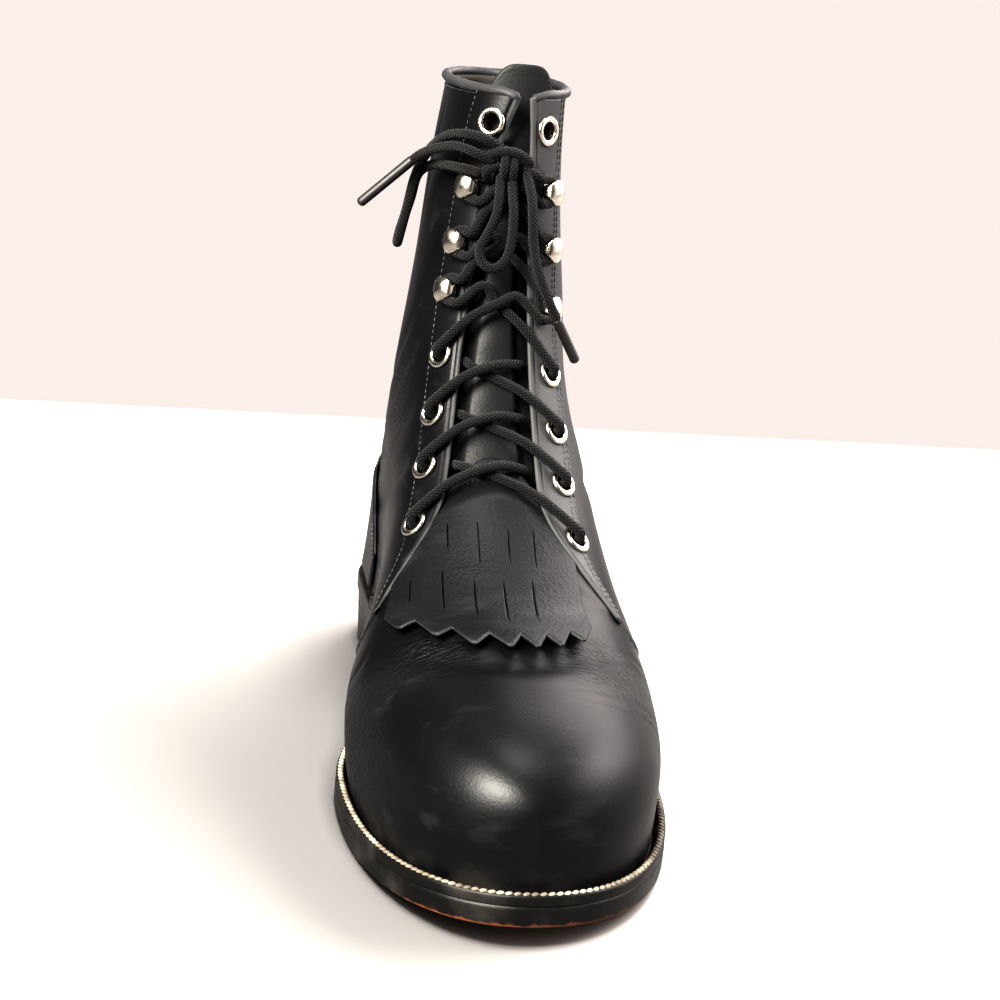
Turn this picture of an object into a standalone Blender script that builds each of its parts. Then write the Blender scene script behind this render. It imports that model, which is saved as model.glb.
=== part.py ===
"""Lace-up roper boot for the left foot, built as separate leather, rubber and metal pieces.

Sizes are in millimetres until a mesh is written. The toe points to -Y, the outer side of the
foot to +X, the collar to +Z, and the floor is Z = 0 under the middle of the sole.
"""
import math
from collections import namedtuple

import bmesh
import bpy
import numpy as np
from mathutils import Vector

MM = 0.001
GAP = 0.3
MEDIAL = -1
LATERAL = 1

# Sole
TOE_Y = -148.0
HEEL_Y = 148.0
TIP_X = -5.0
TOE_POWER = 2.1
TURN_Y = 111.0
TOE_SPRING = 6.0
SPRING_Y = -78.0
ARCH_Y = -16.0
BREAST_Y = 72.0
HEEL_HEIGHT = 23.0
OUTSOLE_THICK = 7.0
WELT_THICK = 3.6
WELT_REACH = 5.0
WELT_SLOPE = 1.8
SEAT_REACH = 2.5
INSOLE_THICK = 3.0

Outline = namedtuple("Outline", "ball_y ball waist_y waist heel")
OUTLINE = {
    MEDIAL: Outline(ball_y=-54.0, ball=57.0, waist_y=40.0, waist=35.5, heel=36.5),
    LATERAL: Outline(ball_y=-38.0, ball=57.0, waist_y=58.0, waist=39.0, heel=37.0),
}

# Upper
WALL = 1.8
FOOT_RISE = 0.5
NOSE_Y = -96.0
NOSE_Z = 33.0
NOSE_POWER = 2.4
SEAT_ARC = 52.0
BACK_ON = TURN_Y + SEAT_ARC

# One row for each section of the last, from the toe tip to the collar
Row = namedtuple("Row", "trail front_y front_z ridge_x full_med full_lat full_at low brow")
ROWS = (
    Row(-143.0, -143.0, 57.0, -5.0, 53.0, 53.0, 0.36, 1.6, 2.3),
    Row(-100.0, -100.0, 62.0, -5.0, 53.5, 53.0, 0.36, 1.6, 2.3),
    Row(-63.0, -59.0, 68.0, -5.0, 55.0, 53.5, 0.36, 1.6, 2.15),
    Row(-38.0, -31.0, 79.0, -4.0, 53.5, 54.5, 0.34, 1.6, 2.0),
    Row(-12.0, -6.0, 96.0, -3.0, 46.5, 52.5, 0.33, 1.6, 1.9),
    Row(16.0, 13.0, 115.0, -2.0, 39.5, 48.5, 0.34, 1.7, 1.9),
    Row(50.0, 27.0, 137.0, -1.0, 34.5, 43.5, 0.37, 2.0, 1.95),
    Row(TURN_Y, 38.0, 165.0, 0.0, 32.5, 39.0, 0.43, 2.0, 2.0),
    Row(BACK_ON, 43.0, 190.0, 1.0, 31.0, 36.5, 0.48, 2.6, 2.1),
    Row(BACK_ON + 49.0, 45.0, 206.0, 2.0, 28.0, 33.0, 0.50, 2.5, 2.1),
    Row(BACK_ON + 104.0, 46.0, 219.0, 3.0, 24.5, 29.5, 0.50, 2.2, 2.1),
    Row(BACK_ON + 161.0, 46.5, 229.0, 4.0, 21.5, 27.5, 0.50, 2.2, 2.1),
    Row(BACK_ON + 209.0, 47.0, 237.0, 5.0, 17.5, 27.0, 0.50, 2.2, 2.1),
)
COLLAR_U = float(len(ROWS) - 1)

# Back line of the shaft, height against depth
BackPoint = namedtuple("BackPoint", "z y")
BACK_LINE = (
    BackPoint(30.0, 145.5),
    BackPoint(60.0, 147.0),
    BackPoint(95.0, 144.5),
    BackPoint(140.0, 140.0),
    BackPoint(190.0, 138.5),
    BackPoint(250.0, 139.5),
)

# Throat: distance from the ridge to each eyestay edge, by section
Throat = namedtuple("Throat", "u medial lateral")
THROAT_U = 3.72
THROAT = (
    Throat(2.90, 60.0, 55.0),
    Throat(3.10, 52.5, 46.0),
    Throat(3.35, 43.0, 36.0),
    Throat(3.70, 30.5, 25.5),
    Throat(4.05, 21.5, 19.5),
    Throat(4.60, 17.0, 17.0),
    Throat(6.00, 14.0, 14.0),
    Throat(7.50, 10.5, 10.5),
    Throat(9.00, 7.0, 7.0),
    Throat(11.00, 3.2, 3.2),
    Throat(12.00, 1.4, 1.4),
    Throat(13.00, 0.9, 0.9),
)
OVERHANG = 2.5
STAY_WIDTH = 20.0
STAY_THICK = 1.2
STAY_LIFT = 0.5
STAY_TOP = STAY_LIFT + STAY_THICK
STAY_POINT = {MEDIAL: 3.28, LATERAL: 3.05}

# Lacing rows from the bottom: section on each side and distance in from the eyestay edge
LaceRow = namedtuple("LaceRow", "kind medial lateral inset")
LACE_ROWS = (
    LaceRow("eyelet", 4.25, 3.94, 12.2),
    LaceRow("eyelet", 5.16, 4.80, 12.4),
    LaceRow("eyelet", 5.92, 5.61, 11.8),
    LaceRow("eyelet", 6.59, 6.35, 10.7),
    LaceRow("hook", 7.34, 7.12, 10.4),
    LaceRow("hook", 8.04, 7.98, 9.8),
    LaceRow("hook", 9.18, 9.18, 9.2),
    LaceRow("eyelet", 10.92, 10.80, 7.0),
)
EYELET_OUTER = 5.0
EYELET_BORE = 2.6
EYELET_BARREL = 3.1
EYELET_HOLE = 3.5
FLANGE_THICK = 1.1
LACE_RADIUS = 1.85

COLOURS = {
    "leather": ((0.012, 0.012, 0.014, 1.0), 0.42, 0.0),
    "rubber": ((0.015, 0.014, 0.013, 1.0), 0.6, 0.0),
    "insole": ((0.16, 0.11, 0.07, 1.0), 0.8, 0.0),
    "nickel": ((0.75, 0.73, 0.7, 1.0), 0.25, 1.0),
    "lace": ((0.02, 0.02, 0.021, 1.0), 0.85, 0.0),
    "aglet": ((0.03, 0.026, 0.024, 1.0), 0.35, 0.0),
}


def clear_scene():
    """Remove every object of the start-up scene."""
    for item in list(bpy.data.objects):
        bpy.data.objects.remove(item, do_unlink=True)


def finish_of(name):
    """Material of one of the named finishes."""
    found = bpy.data.materials.get(name)
    if found:
        return found
    colour, roughness, metallic = COLOURS[name]
    made = bpy.data.materials.new(name)
    made.use_nodes = True
    shader = made.node_tree.nodes["Principled BSDF"]
    shader.inputs["Base Color"].default_value = colour
    shader.inputs["Roughness"].default_value = roughness
    shader.inputs["Metallic"].default_value = metallic
    return made


def clamp(value, low=0.0, high=1.0):
    """Value held between two ends."""
    return min(max(value, low), high)


def ease(t):
    """Smooth step from 0 to 1."""
    t = clamp(t)
    return t * t * (3.0 - 2.0 * t)


def mix(a, b, t):
    """Straight blend of two values."""
    return a + (b - a) * t


class Spline:
    """Natural cubic through values at rising stations."""

    def __init__(self, xs, ys):
        self.xs = np.array(xs, float)
        self.ys = np.array(ys, float)
        count = len(xs)
        step = np.diff(self.xs)
        system = np.eye(count)
        right = np.zeros(count)
        for i in range(1, count - 1):
            system[i, i - 1] = step[i - 1]
            system[i, i] = 2.0 * (step[i - 1] + step[i])
            system[i, i + 1] = step[i]
            rise = (self.ys[i + 1] - self.ys[i]) / step[i]
            fall = (self.ys[i] - self.ys[i - 1]) / step[i - 1]
            right[i] = 6.0 * (rise - fall)
        self.bend = np.linalg.solve(system, right)

    def at(self, x):
        """Value at a station, straight beyond the ends."""
        xs, ys, bend = self.xs, self.ys, self.bend
        i = int(clamp(np.searchsorted(xs, x) - 1, 0, len(xs) - 2))
        h = xs[i + 1] - xs[i]
        inside = clamp(x, xs[0], xs[-1])
        a = (xs[i + 1] - inside) / h
        b = (inside - xs[i]) / h
        value = a * ys[i] + b * ys[i + 1]
        value += ((a ** 3 - a) * bend[i] + (b ** 3 - b) * bend[i + 1]) * h * h / 6.0
        if x == inside:
            return value
        slope = (ys[i + 1] - ys[i]) / h
        slope -= (3.0 * a * a - 1.0) * bend[i] * h / 6.0
        slope += (3.0 * b * b - 1.0) * bend[i + 1] * h / 6.0
        return value + slope * (x - inside)


STATIONS = list(range(len(ROWS)))
COLUMN = {name: Spline(STATIONS, [getattr(row, name) for row in ROWS]) for name in Row._fields}
BACK = Spline([point.z for point in BACK_LINE], [point.y for point in BACK_LINE])
THROAT_EDGE = {
    MEDIAL: Spline([row.u for row in THROAT], [row.medial for row in THROAT]),
    LATERAL: Spline([row.u for row in THROAT], [row.lateral for row in THROAT]),
}


def tread_z(y):
    """Height of the sole's underside."""
    if y < SPRING_Y:
        return TOE_SPRING * ((SPRING_Y - y) / (SPRING_Y - TOE_Y)) ** 2
    return HEEL_HEIGHT * ease((y - ARCH_Y) / (BREAST_Y - ARCH_Y))


def bed_z(y):
    """Height on which the upper and the insole stand."""
    return tread_z(y) + OUTSOLE_THICK + GAP


def feather_reach(y):
    """How far the upper's foot stands inside the sole's edge."""
    return mix(WELT_REACH, SEAT_REACH, ease((y - 10.0) / 60.0))


def toe_round(y, side, reach):
    """Share of the ball width left at a depth in the toe."""
    ball_y = OUTLINE[side].ball_y
    t = clamp((ball_y - y) / (ball_y - TOE_Y - reach))
    return (1.0 - t ** TOE_POWER) ** (1.0 / TOE_POWER)


def sole_edge(y, side, reach):
    """Distance of the sole's edge from the middle plane, less a reach."""
    line = OUTLINE[side]
    if y <= line.ball_y:
        tip = side * TIP_X
        return tip + (line.ball - reach - tip) * toe_round(y, side, reach)
    if y <= line.waist_y:
        share = ease((y - line.ball_y) / (line.waist_y - line.ball_y))
        return mix(line.ball, line.waist, share) - reach
    if y <= TURN_Y:
        share = ease((y - line.waist_y) / (TURN_Y - line.waist_y))
        return mix(line.waist, line.heel, share) - reach
    t = clamp((y - TURN_Y) / (HEEL_Y - reach - TURN_Y))
    return (line.heel - reach) * math.sqrt(1.0 - t * t)


def base_point(trail, side):
    """Foot of a section: depth, height and distance from the middle plane."""
    if trail <= TURN_Y:
        return trail, bed_z(trail) + FOOT_RISE, sole_edge(trail, side, feather_reach(trail))
    if trail <= BACK_ON:
        angle = math.pi / 2.0 * (trail - TURN_Y) / SEAT_ARC
        y = TURN_Y + (HEEL_Y - SEAT_REACH - TURN_Y) * math.sin(angle)
        half = (OUTLINE[side].heel - SEAT_REACH) * math.cos(angle)
        return y, bed_z(y) + FOOT_RISE, half
    z = bed_z(HEEL_Y) + FOOT_RISE + trail - BACK_ON
    return BACK.at(z), z, 0.0


CURVES = {}
CURVE_STEPS = 40


def section_curve(u, side):
    """Arc length from the ridge and points of one half section."""
    key = (round(u, 5), side)
    if key in CURVES:
        return CURVES[key]
    row = Row(*[COLUMN[name].at(u) for name in Row._fields])
    base_y, base_z, base_half = base_point(row.trail, side)
    ridge = row.ridge_x
    if row.trail > TURN_Y:
        on_back = clamp((row.trail - TURN_Y) / SEAT_ARC)
        foot = base_half - side * ridge * (1.0 - on_back)
    else:
        foot = base_half - side * ridge
    full = (row.full_med if side == MEDIAL else row.full_lat) - side * ridge
    front_z = row.front_z
    if row.trail < OUTLINE[side].ball_y:
        full *= toe_round(row.trail, side, WELT_REACH)
    if row.trail < NOSE_Y:
        t = clamp((NOSE_Y - row.trail) / (NOSE_Y - TOE_Y - WELT_REACH))
        front_z = mix(NOSE_Z, front_z, (1.0 - t ** NOSE_POWER) ** (1.0 / NOSE_POWER))
    turn = np.linspace(math.pi / 2.0, 0.0, CURVE_STEPS + 1)
    wide_up = full * np.cos(turn) ** (2.0 / row.brow)
    high_up = row.full_at + (1.0 - row.full_at) * np.sin(turn) ** (2.0 / row.brow)
    wide_low = foot + (full - foot) * np.sin(turn) ** (2.0 / row.low)
    high_low = row.full_at * (1.0 - np.cos(turn) ** (2.0 / row.low))
    wide = np.concatenate([wide_up, wide_low[1:]])
    high = np.concatenate([high_up, high_low[1:]])
    points = np.stack([
        ridge + side * wide,
        mix(base_y, row.front_y, high),
        mix(base_z, front_z, high),
    ], axis=1)
    length = np.concatenate([[0.0], np.cumsum(np.linalg.norm(np.diff(points, axis=0), axis=1))])
    CURVES[key] = (length, points)
    return CURVES[key]


def girth(u, side):
    """Arc length of a half section from the ridge to its foot."""
    return section_curve(u, side)[0][-1]


def skin(u, s):
    """Point of the upper's outer face at a section and a signed distance from the ridge."""
    side = MEDIAL if s < 0.0 else LATERAL
    length, points = section_curve(u, side)
    return np.array([np.interp(abs(s), length, points[:, k]) for k in range(3)])


def outward(u, s):
    """Unit normal of the outer face."""
    along = skin(u + 0.02, s) - skin(u - 0.02, s)
    reach = girth(u, MEDIAL if s < 0.0 else LATERAL)
    across = skin(u, min(s + 0.6, reach)) - skin(u, max(s - 0.6, -reach))
    normal = np.cross(across, along)
    return normal / np.linalg.norm(normal)


def raised(u, s, lift):
    """Point at a height over the outer face."""
    return skin(u, s) + outward(u, s) * lift


def add_object(name, bm, finish, smooth=True):
    """Write a mesh in metres as a named object."""
    bmesh.ops.recalc_face_normals(bm, faces=bm.faces)
    bmesh.ops.scale(bm, vec=(MM, MM, MM), verts=bm.verts)
    mesh = bpy.data.meshes.new(name)
    bm.to_mesh(mesh)
    bm.free()
    mesh.materials.append(finish_of(finish))
    for face in mesh.polygons:
        face.use_smooth = smooth
    made = bpy.data.objects.new(name, mesh)
    bpy.context.scene.collection.objects.link(made)
    return made


def skinned(rings, closed=True, caps=True, weld=0.01):
    """Mesh between rings of points, with end caps."""
    bm = bmesh.new()
    rows = [[bm.verts.new(point) for point in ring] for ring in rings]
    count = len(rows[0])
    last = count if closed else count - 1
    for lower, upper in zip(rows, rows[1:]):
        for i in range(last):
            j = (i + 1) % count
            bm.faces.new((lower[i], lower[j], upper[j], upper[i]))
    if caps:
        bm.faces.new(rows[0])
        bm.faces.new(rows[-1])
    bmesh.ops.remove_doubles(bm, verts=bm.verts, dist=weld)
    return bm


def patch(name, grid, lift, thick, finish, weld=0.01):
    """Layer of leather over a grid of (section, distance) places."""
    rings = []
    for line in grid:
        low = [raised(u, s, lift(u, s)) for u, s in line]
        high = [raised(u, s, lift(u, s) + thick) for u, s in line]
        rings.append(low + high[::-1])
    return add_object(name, skinned(rings, weld=weld), finish)


def spread(start, stop, count):
    """Evenly spread values, both ends included."""
    return [mix(start, stop, i / (count - 1)) for i in range(count)]


def sole_stations(first, last, count):
    """Depths along the sole, closer together at both ends."""
    middle = (first + last) / 2.0
    half = (last - first) / 2.0
    return [middle - half * math.cos(math.pi * i / (count - 1)) for i in range(count)]


def sole_layer(name, finish, reach, under, over, bevel):
    """Full-length layer of the sole between two heights."""
    rings = []
    for y in sole_stations(TOE_Y + reach(TOE_Y), HEEL_Y - reach(HEEL_Y), 36):
        left = -sole_edge(y, MEDIAL, reach(y))
        right = sole_edge(y, LATERAL, reach(y))
        cut = min(bevel, 0.25 * (right - left))
        low = under(y)
        high = over(y)
        rings.append([
            (left + cut, y, low),
            (right - cut, y, low),
            (right, y, low + cut),
            (right, y, high),
            (left, y, high),
            (left, y, low + cut),
        ])
    return add_object(name, skinned(rings, caps=False), finish, smooth=False)


def build_outsole():
    """Outsole with toe spring, flat forefoot, arch and heel seat."""
    def edge(y):
        return 0.0

    def top(y):
        return tread_z(y) + OUTSOLE_THICK

    return sole_layer("outsole", "rubber", edge, tread_z, top, 0.8)


def build_insole():
    """Insole board inside the foot of the upper."""
    def edge(y):
        return feather_reach(y) + WALL + 1.7

    def top(y):
        return bed_z(y) + INSOLE_THICK

    return sole_layer("insole", "insole", edge, bed_z, top, 0.0)


def build_heel():
    """Low block heel, a little narrower at the floor."""
    rings = []
    for z, inset in ((0.0, 2.2), (0.8, 1.6), (HEEL_HEIGHT - GAP, 0.6)):
        depths = [mix(BREAST_Y, TURN_Y, t) for t in (0.0, 0.33, 0.67)]
        turns = spread(0.0, math.pi / 2.0, 10)
        depths += [TURN_Y + (HEEL_Y - inset - TURN_Y) * math.sin(a) for a in turns]
        lateral = [(sole_edge(y, LATERAL, inset), y, z) for y in depths]
        medial = [(-sole_edge(y, MEDIAL, inset), y, z) for y in depths[:-1]]
        rings.append(lateral + medial[::-1])
    return add_object("heel", skinned(rings), "rubber", smooth=False)


def welt_point(side, q, reach):
    """Plan point of an outline, from the toe tip (0) to the ball (1) and the breast (2)."""
    line = OUTLINE[side]
    if q <= 1.0:
        angle = q * math.pi / 2.0
        deep = math.cos(angle) ** (2.0 / TOE_POWER)
        wide = math.sin(angle) ** (2.0 / TOE_POWER)
        tip = side * TIP_X
        y = line.ball_y - (line.ball_y - TOE_Y - reach) * deep
        return side * (tip + (line.ball - reach - tip) * wide), y
    y = mix(line.ball_y, BREAST_Y - 2.0, q - 1.0)
    return side * sole_edge(y, side, reach), y


def build_welt():
    """Welt round the forepart, from breast to breast."""
    path = [(MEDIAL, q) for q in spread(2.0, 1.0, 10)]
    path += [(MEDIAL, q) for q in spread(1.0, 0.0, 12)[1:]]
    path += [(LATERAL, q) for q in spread(0.0, 1.0, 12)[1:]]
    path += [(LATERAL, q) for q in spread(1.0, 2.0, 10)[1:]]
    rings = []
    for side, q in path:
        outer = welt_point(side, q, 0.2)
        inner_reach = feather_reach(outer[1]) - 0.6
        inner = welt_point(side, q, inner_reach)
        brim = welt_point(side, q, 1.0)
        lip = welt_point(side, q, inner_reach - WELT_SLOPE)
        low = bed_z(outer[1])
        low_in = bed_z(inner[1])
        rings.append([
            (inner[0], inner[1], low_in),
            (outer[0], outer[1], low),
            (outer[0], outer[1], low + WELT_THICK - 0.7),
            (brim[0], brim[1], low + WELT_THICK),
            (lip[0], lip[1], bed_z(lip[1]) + WELT_THICK),
        ])
    return add_object("welt", skinned(rings), "rubber", smooth=False)


def stay_edge(u, side):
    """Distance from the ridge to the eyestay's inner edge."""
    return max(THROAT_EDGE[side].at(u), 0.8)


def wall_edge(u, side):
    """Distance from the ridge to the wall's throat edge."""
    if u <= THROAT_U:
        return 0.0
    opened = stay_edge(u, side) + OVERHANG
    t = clamp((u - THROAT_U) / 0.45)
    return opened * math.sqrt(1.0 - (1.0 - t) ** 2)


UPPER_COLUMNS = 10


def build_upper(cutter):
    """Hollow leather body, open at the throat, the collar and underneath."""
    sections = [(i / 6.0) ** 2 for i in range(7)]
    sections += spread(1.0, 3.4, 5)[1:]
    sections += [THROAT_U, 3.76, 3.86, 4.12]
    sections += spread(4.12, 7.0, 10)[1:]
    sections += spread(7.0, 8.0, 5)[1:]
    sections += spread(8.0, COLLAR_U, 7)[1:]
    bm = bmesh.new()
    for side in (MEDIAL, LATERAL):
        rows = []
        for u in sections:
            first = wall_edge(u, side)
            last = girth(u, side)
            row = []
            for i in range(UPPER_COLUMNS + 1):
                share = i / UPPER_COLUMNS
                length, points = section_curve(u, side)
                s = mix(first, last, share)
                row.append(bm.verts.new([np.interp(s, length, points[:, k]) for k in range(3)]))
            rows.append(row)
        for lower, upper in zip(rows, rows[1:]):
            for i in range(UPPER_COLUMNS):
                bm.faces.new((lower[i], lower[i + 1], upper[i + 1], upper[i]))
    bmesh.ops.remove_doubles(bm, verts=bm.verts, dist=0.05)
    bmesh.ops.recalc_face_normals(bm, faces=bm.faces)
    bm.normal_update()
    thicken(bm, WALL)
    made = add_object("upper", bm, "leather")
    subtract(made, cutter)
    return made


def thicken(bm, depth):
    """Close an open sheet into a wall by a second face on its inner side."""
    centre = Vector((0.0, 40.0, 90.0))
    probe = max(bm.verts, key=lambda v: v.co.y)
    sign = 1.0 if probe.normal.dot(probe.co - centre) > 0.0 else -1.0
    outer = list(bm.verts)
    faces = list(bm.faces)
    rim = [edge for edge in bm.edges if len(edge.link_faces) == 1]
    inner = {v: bm.verts.new(v.co - v.normal * depth * sign) for v in outer}
    for face in faces:
        bm.faces.new([inner[v] for v in reversed(face.verts)])
    for edge in rim:
        a, b = edge.verts
        bm.faces.new((a, b, inner[b], inner[a]))


def subtract(target, cutter):
    """Cut one object by another and keep the plain mesh."""
    change = target.modifiers.new("holes", "BOOLEAN")
    change.operation = "DIFFERENCE"
    change.solver = "EXACT"
    change.object = cutter
    graph = bpy.context.evaluated_depsgraph_get()
    made = bpy.data.meshes.new_from_object(target.evaluated_get(graph))
    target.modifiers.clear()
    old = target.data
    target.data = made
    bpy.data.meshes.remove(old)
    made.name = target.name


def build_eyestay(side, cutter):
    """Facing along one side of the throat with a pointed lower corner."""
    point = STAY_POINT[side]
    sections = [mix(point, 4.25, t) for t in (0.0, 0.08, 0.24, 0.45, 0.7, 1.0)]
    sections += spread(4.25, 7.5, 8)[1:]
    sections += spread(7.5, COLLAR_U, 8)[1:]
    grid = []
    for u in sections:
        inner = stay_edge(u, side)
        taper = math.sqrt(clamp((u - point + 0.01) / 1.2))
        width = mix(1.0, STAY_WIDTH, taper)
        grid.append([(u, side * s) for s in spread(inner, inner + width, 4)])

    def lift(u, s):
        return STAY_LIFT

    name = "eyestay_medial" if side == MEDIAL else "eyestay_lateral"
    made = patch(name, grid, lift, STAY_THICK, "leather")
    subtract(made, cutter)
    return made


TONGUE_LOW = 3.45
TONGUE_TOP = 13.5
TONGUE_THICK = 1.6
TONGUE_GAP = 1.7
TONGUE_FREE = 9.0
TONGUE_BACK = 9.5
TONGUE_HALF = 12.5


def tongue_point(u, q, lift):
    """Point of the tongue, leaving the facings for a flatter arc near the collar."""
    half = mix(22.0, 24.0, ease((u - TONGUE_LOW) / 6.0))
    under = raised(u, q * half, lift)
    free = ease((u - TONGUE_FREE) / 2.6)
    ridge = COLUMN["ridge_x"].at(u)
    y = COLUMN["front_y"].at(u) + TONGUE_BACK + 3.0 * q * q - lift - WALL - TONGUE_GAP
    flat = np.array([ridge + TONGUE_HALF * q, y, COLUMN["front_z"].at(u)])
    return mix(under, flat, free)


def build_tongue():
    """Tongue under the facings, standing above the collar at its top."""
    columns = 8
    rings = []
    outer = -WALL - TONGUE_GAP
    for t in spread(0.0, 1.0, 15):
        places = []
        for i in range(columns):
            q = mix(-1.0, 1.0, i / (columns - 1))
            places.append((mix(TONGUE_LOW, TONGUE_TOP - 1.5 * q ** 4, t), q))
        low = [tongue_point(u, q, outer - TONGUE_THICK) for u, q in places]
        high = [tongue_point(u, q, outer) for u, q in places]
        rings.append(low + high[::-1])
    return add_object("tongue", skinned(rings), "leather")


KILTIE_LOW = 1.56
KILTIE_BEND = 0.00054
KILTIE_MIDDLE = 2.0
KILTIE_TOP = 4.75
KILTIE_HALF = {MEDIAL: 40.0, LATERAL: 31.0}
KILTIE_TEETH = 7
KILTIE_TOOTH = 0.16
KILTIE_THICK = 1.2


def fringe_line(s):
    """Section at which the fringe's tips end."""
    return KILTIE_LOW + KILTIE_BEND * (s - KILTIE_MIDDLE) ** 2


def build_kiltie():
    """Fringed flap over the base of the tongue and the back of the vamp."""
    columns = 2 * KILTIE_TEETH + 1
    grid = []
    for t in (0.0, 0.08, 0.18, 0.28, 0.38, 0.48, 0.58, 0.68, 0.76, 0.86, 1.0):
        line = []
        for i in range(columns):
            q = mix(-1.0, 1.0, i / (columns - 1))
            side = MEDIAL if q < 0.0 else LATERAL
            tooth = 0.0 if i % 2 else KILTIE_TOOTH
            low = fringe_line(q * KILTIE_HALF[side]) + tooth
            top = KILTIE_TOP - 0.35 * q * q
            u = mix(low, top, t)
            half = min(stay_edge(u, side) - 0.7, KILTIE_HALF[side])
            line.append((u, q * half))
        grid.append(line)

    def lift(u, s):
        sunk = ease((u - 4.05) / 0.3)
        curl = 1.6 * ease((fringe_line(s) + 0.8 - u) / 0.8)
        return mix(GAP + 0.25 + curl, -1.65, sunk)

    return patch("kiltie", grid, lift, KILTIE_THICK, "leather")


COUNTER_FROM = 6.55
COUNTER_TOP_Z = 84.0
COUNTER_THICK = 1.2
COUNTER_LIFT = 0.7
COUNTER_RISE = 2.4
COUNTER_FALL = 0.0062


def counter_line(point):
    """Height of a point over the counter's top line."""
    return point[2] - COUNTER_TOP_Z + COUNTER_FALL * (HEEL_Y - point[1]) ** 2


def counter_height(u, side):
    """Distance up a section to the counter's top line."""
    length, points = section_curve(u, side)
    for i in range(len(length) - 1, 0, -1):
        low = counter_line(points[i])
        high = counter_line(points[i - 1])
        if high > 0.0:
            return length[-1] - mix(length[i], length[i - 1], clamp(-low / (high - low)))
    return 0.0


def counter_foot(u, side):
    """Distance up a section to the counter's lower edge."""
    length, points = section_curve(u, side)
    clear = bed_z(HEEL_Y) + COUNTER_RISE
    for i in range(len(length) - 1, 0, -1):
        low = points[i][2]
        high = points[i - 1][2]
        if low >= clear:
            return length[-1] - length[i]
        if high > clear:
            t = (clear - low) / (high - low)
            return length[-1] - mix(length[i], length[i - 1], t)
    return 0.0


def build_counter():
    """Overlay round the back of the heel, a sheet on both sides joined at the back line."""
    top_u = 8.0 + (COUNTER_TOP_Z - bed_z(HEEL_Y)) / 49.0
    sections = spread(COUNTER_FROM, 7.0, 3)
    sections += spread(7.0, 7.88, 5)[1:]
    sections += spread(8.0 + COUNTER_RISE / 49.0, top_u - 0.1, 5)
    bm = bmesh.new()
    for side in (MEDIAL, LATERAL):
        rows = []
        for u in sections:
            foot = girth(u, side)
            start = counter_foot(u, side)
            high = max(counter_height(u, side), 3.0)
            row = []
            for d in spread(start, high, 6):
                row.append(bm.verts.new(raised(u, side * (foot - d), COUNTER_LIFT + COUNTER_THICK)))
            rows.append(row)
        for lower, upper in zip(rows, rows[1:]):
            for i in range(5):
                bm.faces.new((lower[i], lower[i + 1], upper[i + 1], upper[i]))
    bmesh.ops.remove_doubles(bm, verts=bm.verts, dist=0.4)
    bmesh.ops.recalc_face_normals(bm, faces=bm.faces)
    bm.normal_update()
    thicken(bm, COUNTER_THICK)
    return add_object("heel_counter", bm, "leather")


BINDING_OUT = 0.1
BINDING_WIDE = 2.2
BINDING_HIGH = 2.2


def build_collar():
    """Rolled binding on the collar edge."""
    rings = []
    places = [MEDIAL * s for s in spread(1.8, girth(COLLAR_U, MEDIAL), 13)]
    places += [s for s in spread(girth(COLLAR_U, LATERAL), 1.8, 13)][1:]
    for s in places:
        foot = skin(COLLAR_U, s)
        normal = outward(COLLAR_U, s)
        rise = skin(COLLAR_U + 0.05, s) - skin(COLLAR_U - 0.05, s)
        rise = rise - normal * np.dot(rise, normal)
        rise /= np.linalg.norm(rise)
        centre = foot + normal * BINDING_OUT + rise * (BINDING_HIGH + GAP)
        ring = []
        for k in range(8):
            angle = math.pi * 2.0 * k / 8.0
            side = normal * BINDING_WIDE * math.cos(angle)
            ring.append(centre + side + rise * BINDING_HIGH * math.sin(angle))
        rings.append(ring)
    return add_object("collar_binding", skinned(rings), "leather")


def place_frame(u, s):
    """Outward, upward and sideways directions at a place on the facing."""
    normal = outward(u, s)
    up = skin(u + 0.05, s) - skin(u - 0.05, s)
    up = up - normal * np.dot(up, normal)
    up /= np.linalg.norm(up)
    away = np.cross(up, normal)
    if away[0] * s < 0.0:
        away = -away
    return skin(u, s), normal, up, away


def lathe(place, profile, sides=10):
    """Rings of a turned piece standing on a place."""
    origin, normal, up, away = place
    rings = []
    for radius, lift in profile:
        ring = []
        for k in range(sides):
            angle = math.pi * 2.0 * k / sides
            ring.append(origin + normal * lift + (up * math.sin(angle) + away * math.cos(angle)) * radius)
        rings.append(ring)
    return rings


def lace_u(row, side):
    """Section of a lacing row on one side."""
    return row.medial if side == MEDIAL else row.lateral


def lace_place(row, side):
    """Place of a row's eyelet or hook on the facing."""
    u = lace_u(row, side)
    return place_frame(u, side * (stay_edge(u, side) + row.inset))


def build_eyelet(name, row, side):
    """Flanged metal ring with a barrel through the facing."""
    low = STAY_TOP + GAP
    profile = (
        (EYELET_BORE, -1.3),
        (EYELET_BORE, low + 0.6),
        (mix(EYELET_BORE, EYELET_OUTER, 0.4), low + FLANGE_THICK),
        (EYELET_OUTER, low + 0.3),
        (EYELET_BARREL, low),
        (EYELET_BARREL, -1.3),
    )
    rings = lathe(lace_place(row, side), profile)
    rings.append(rings[0])
    return add_object(name, skinned(rings, caps=False), "nickel")


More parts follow.
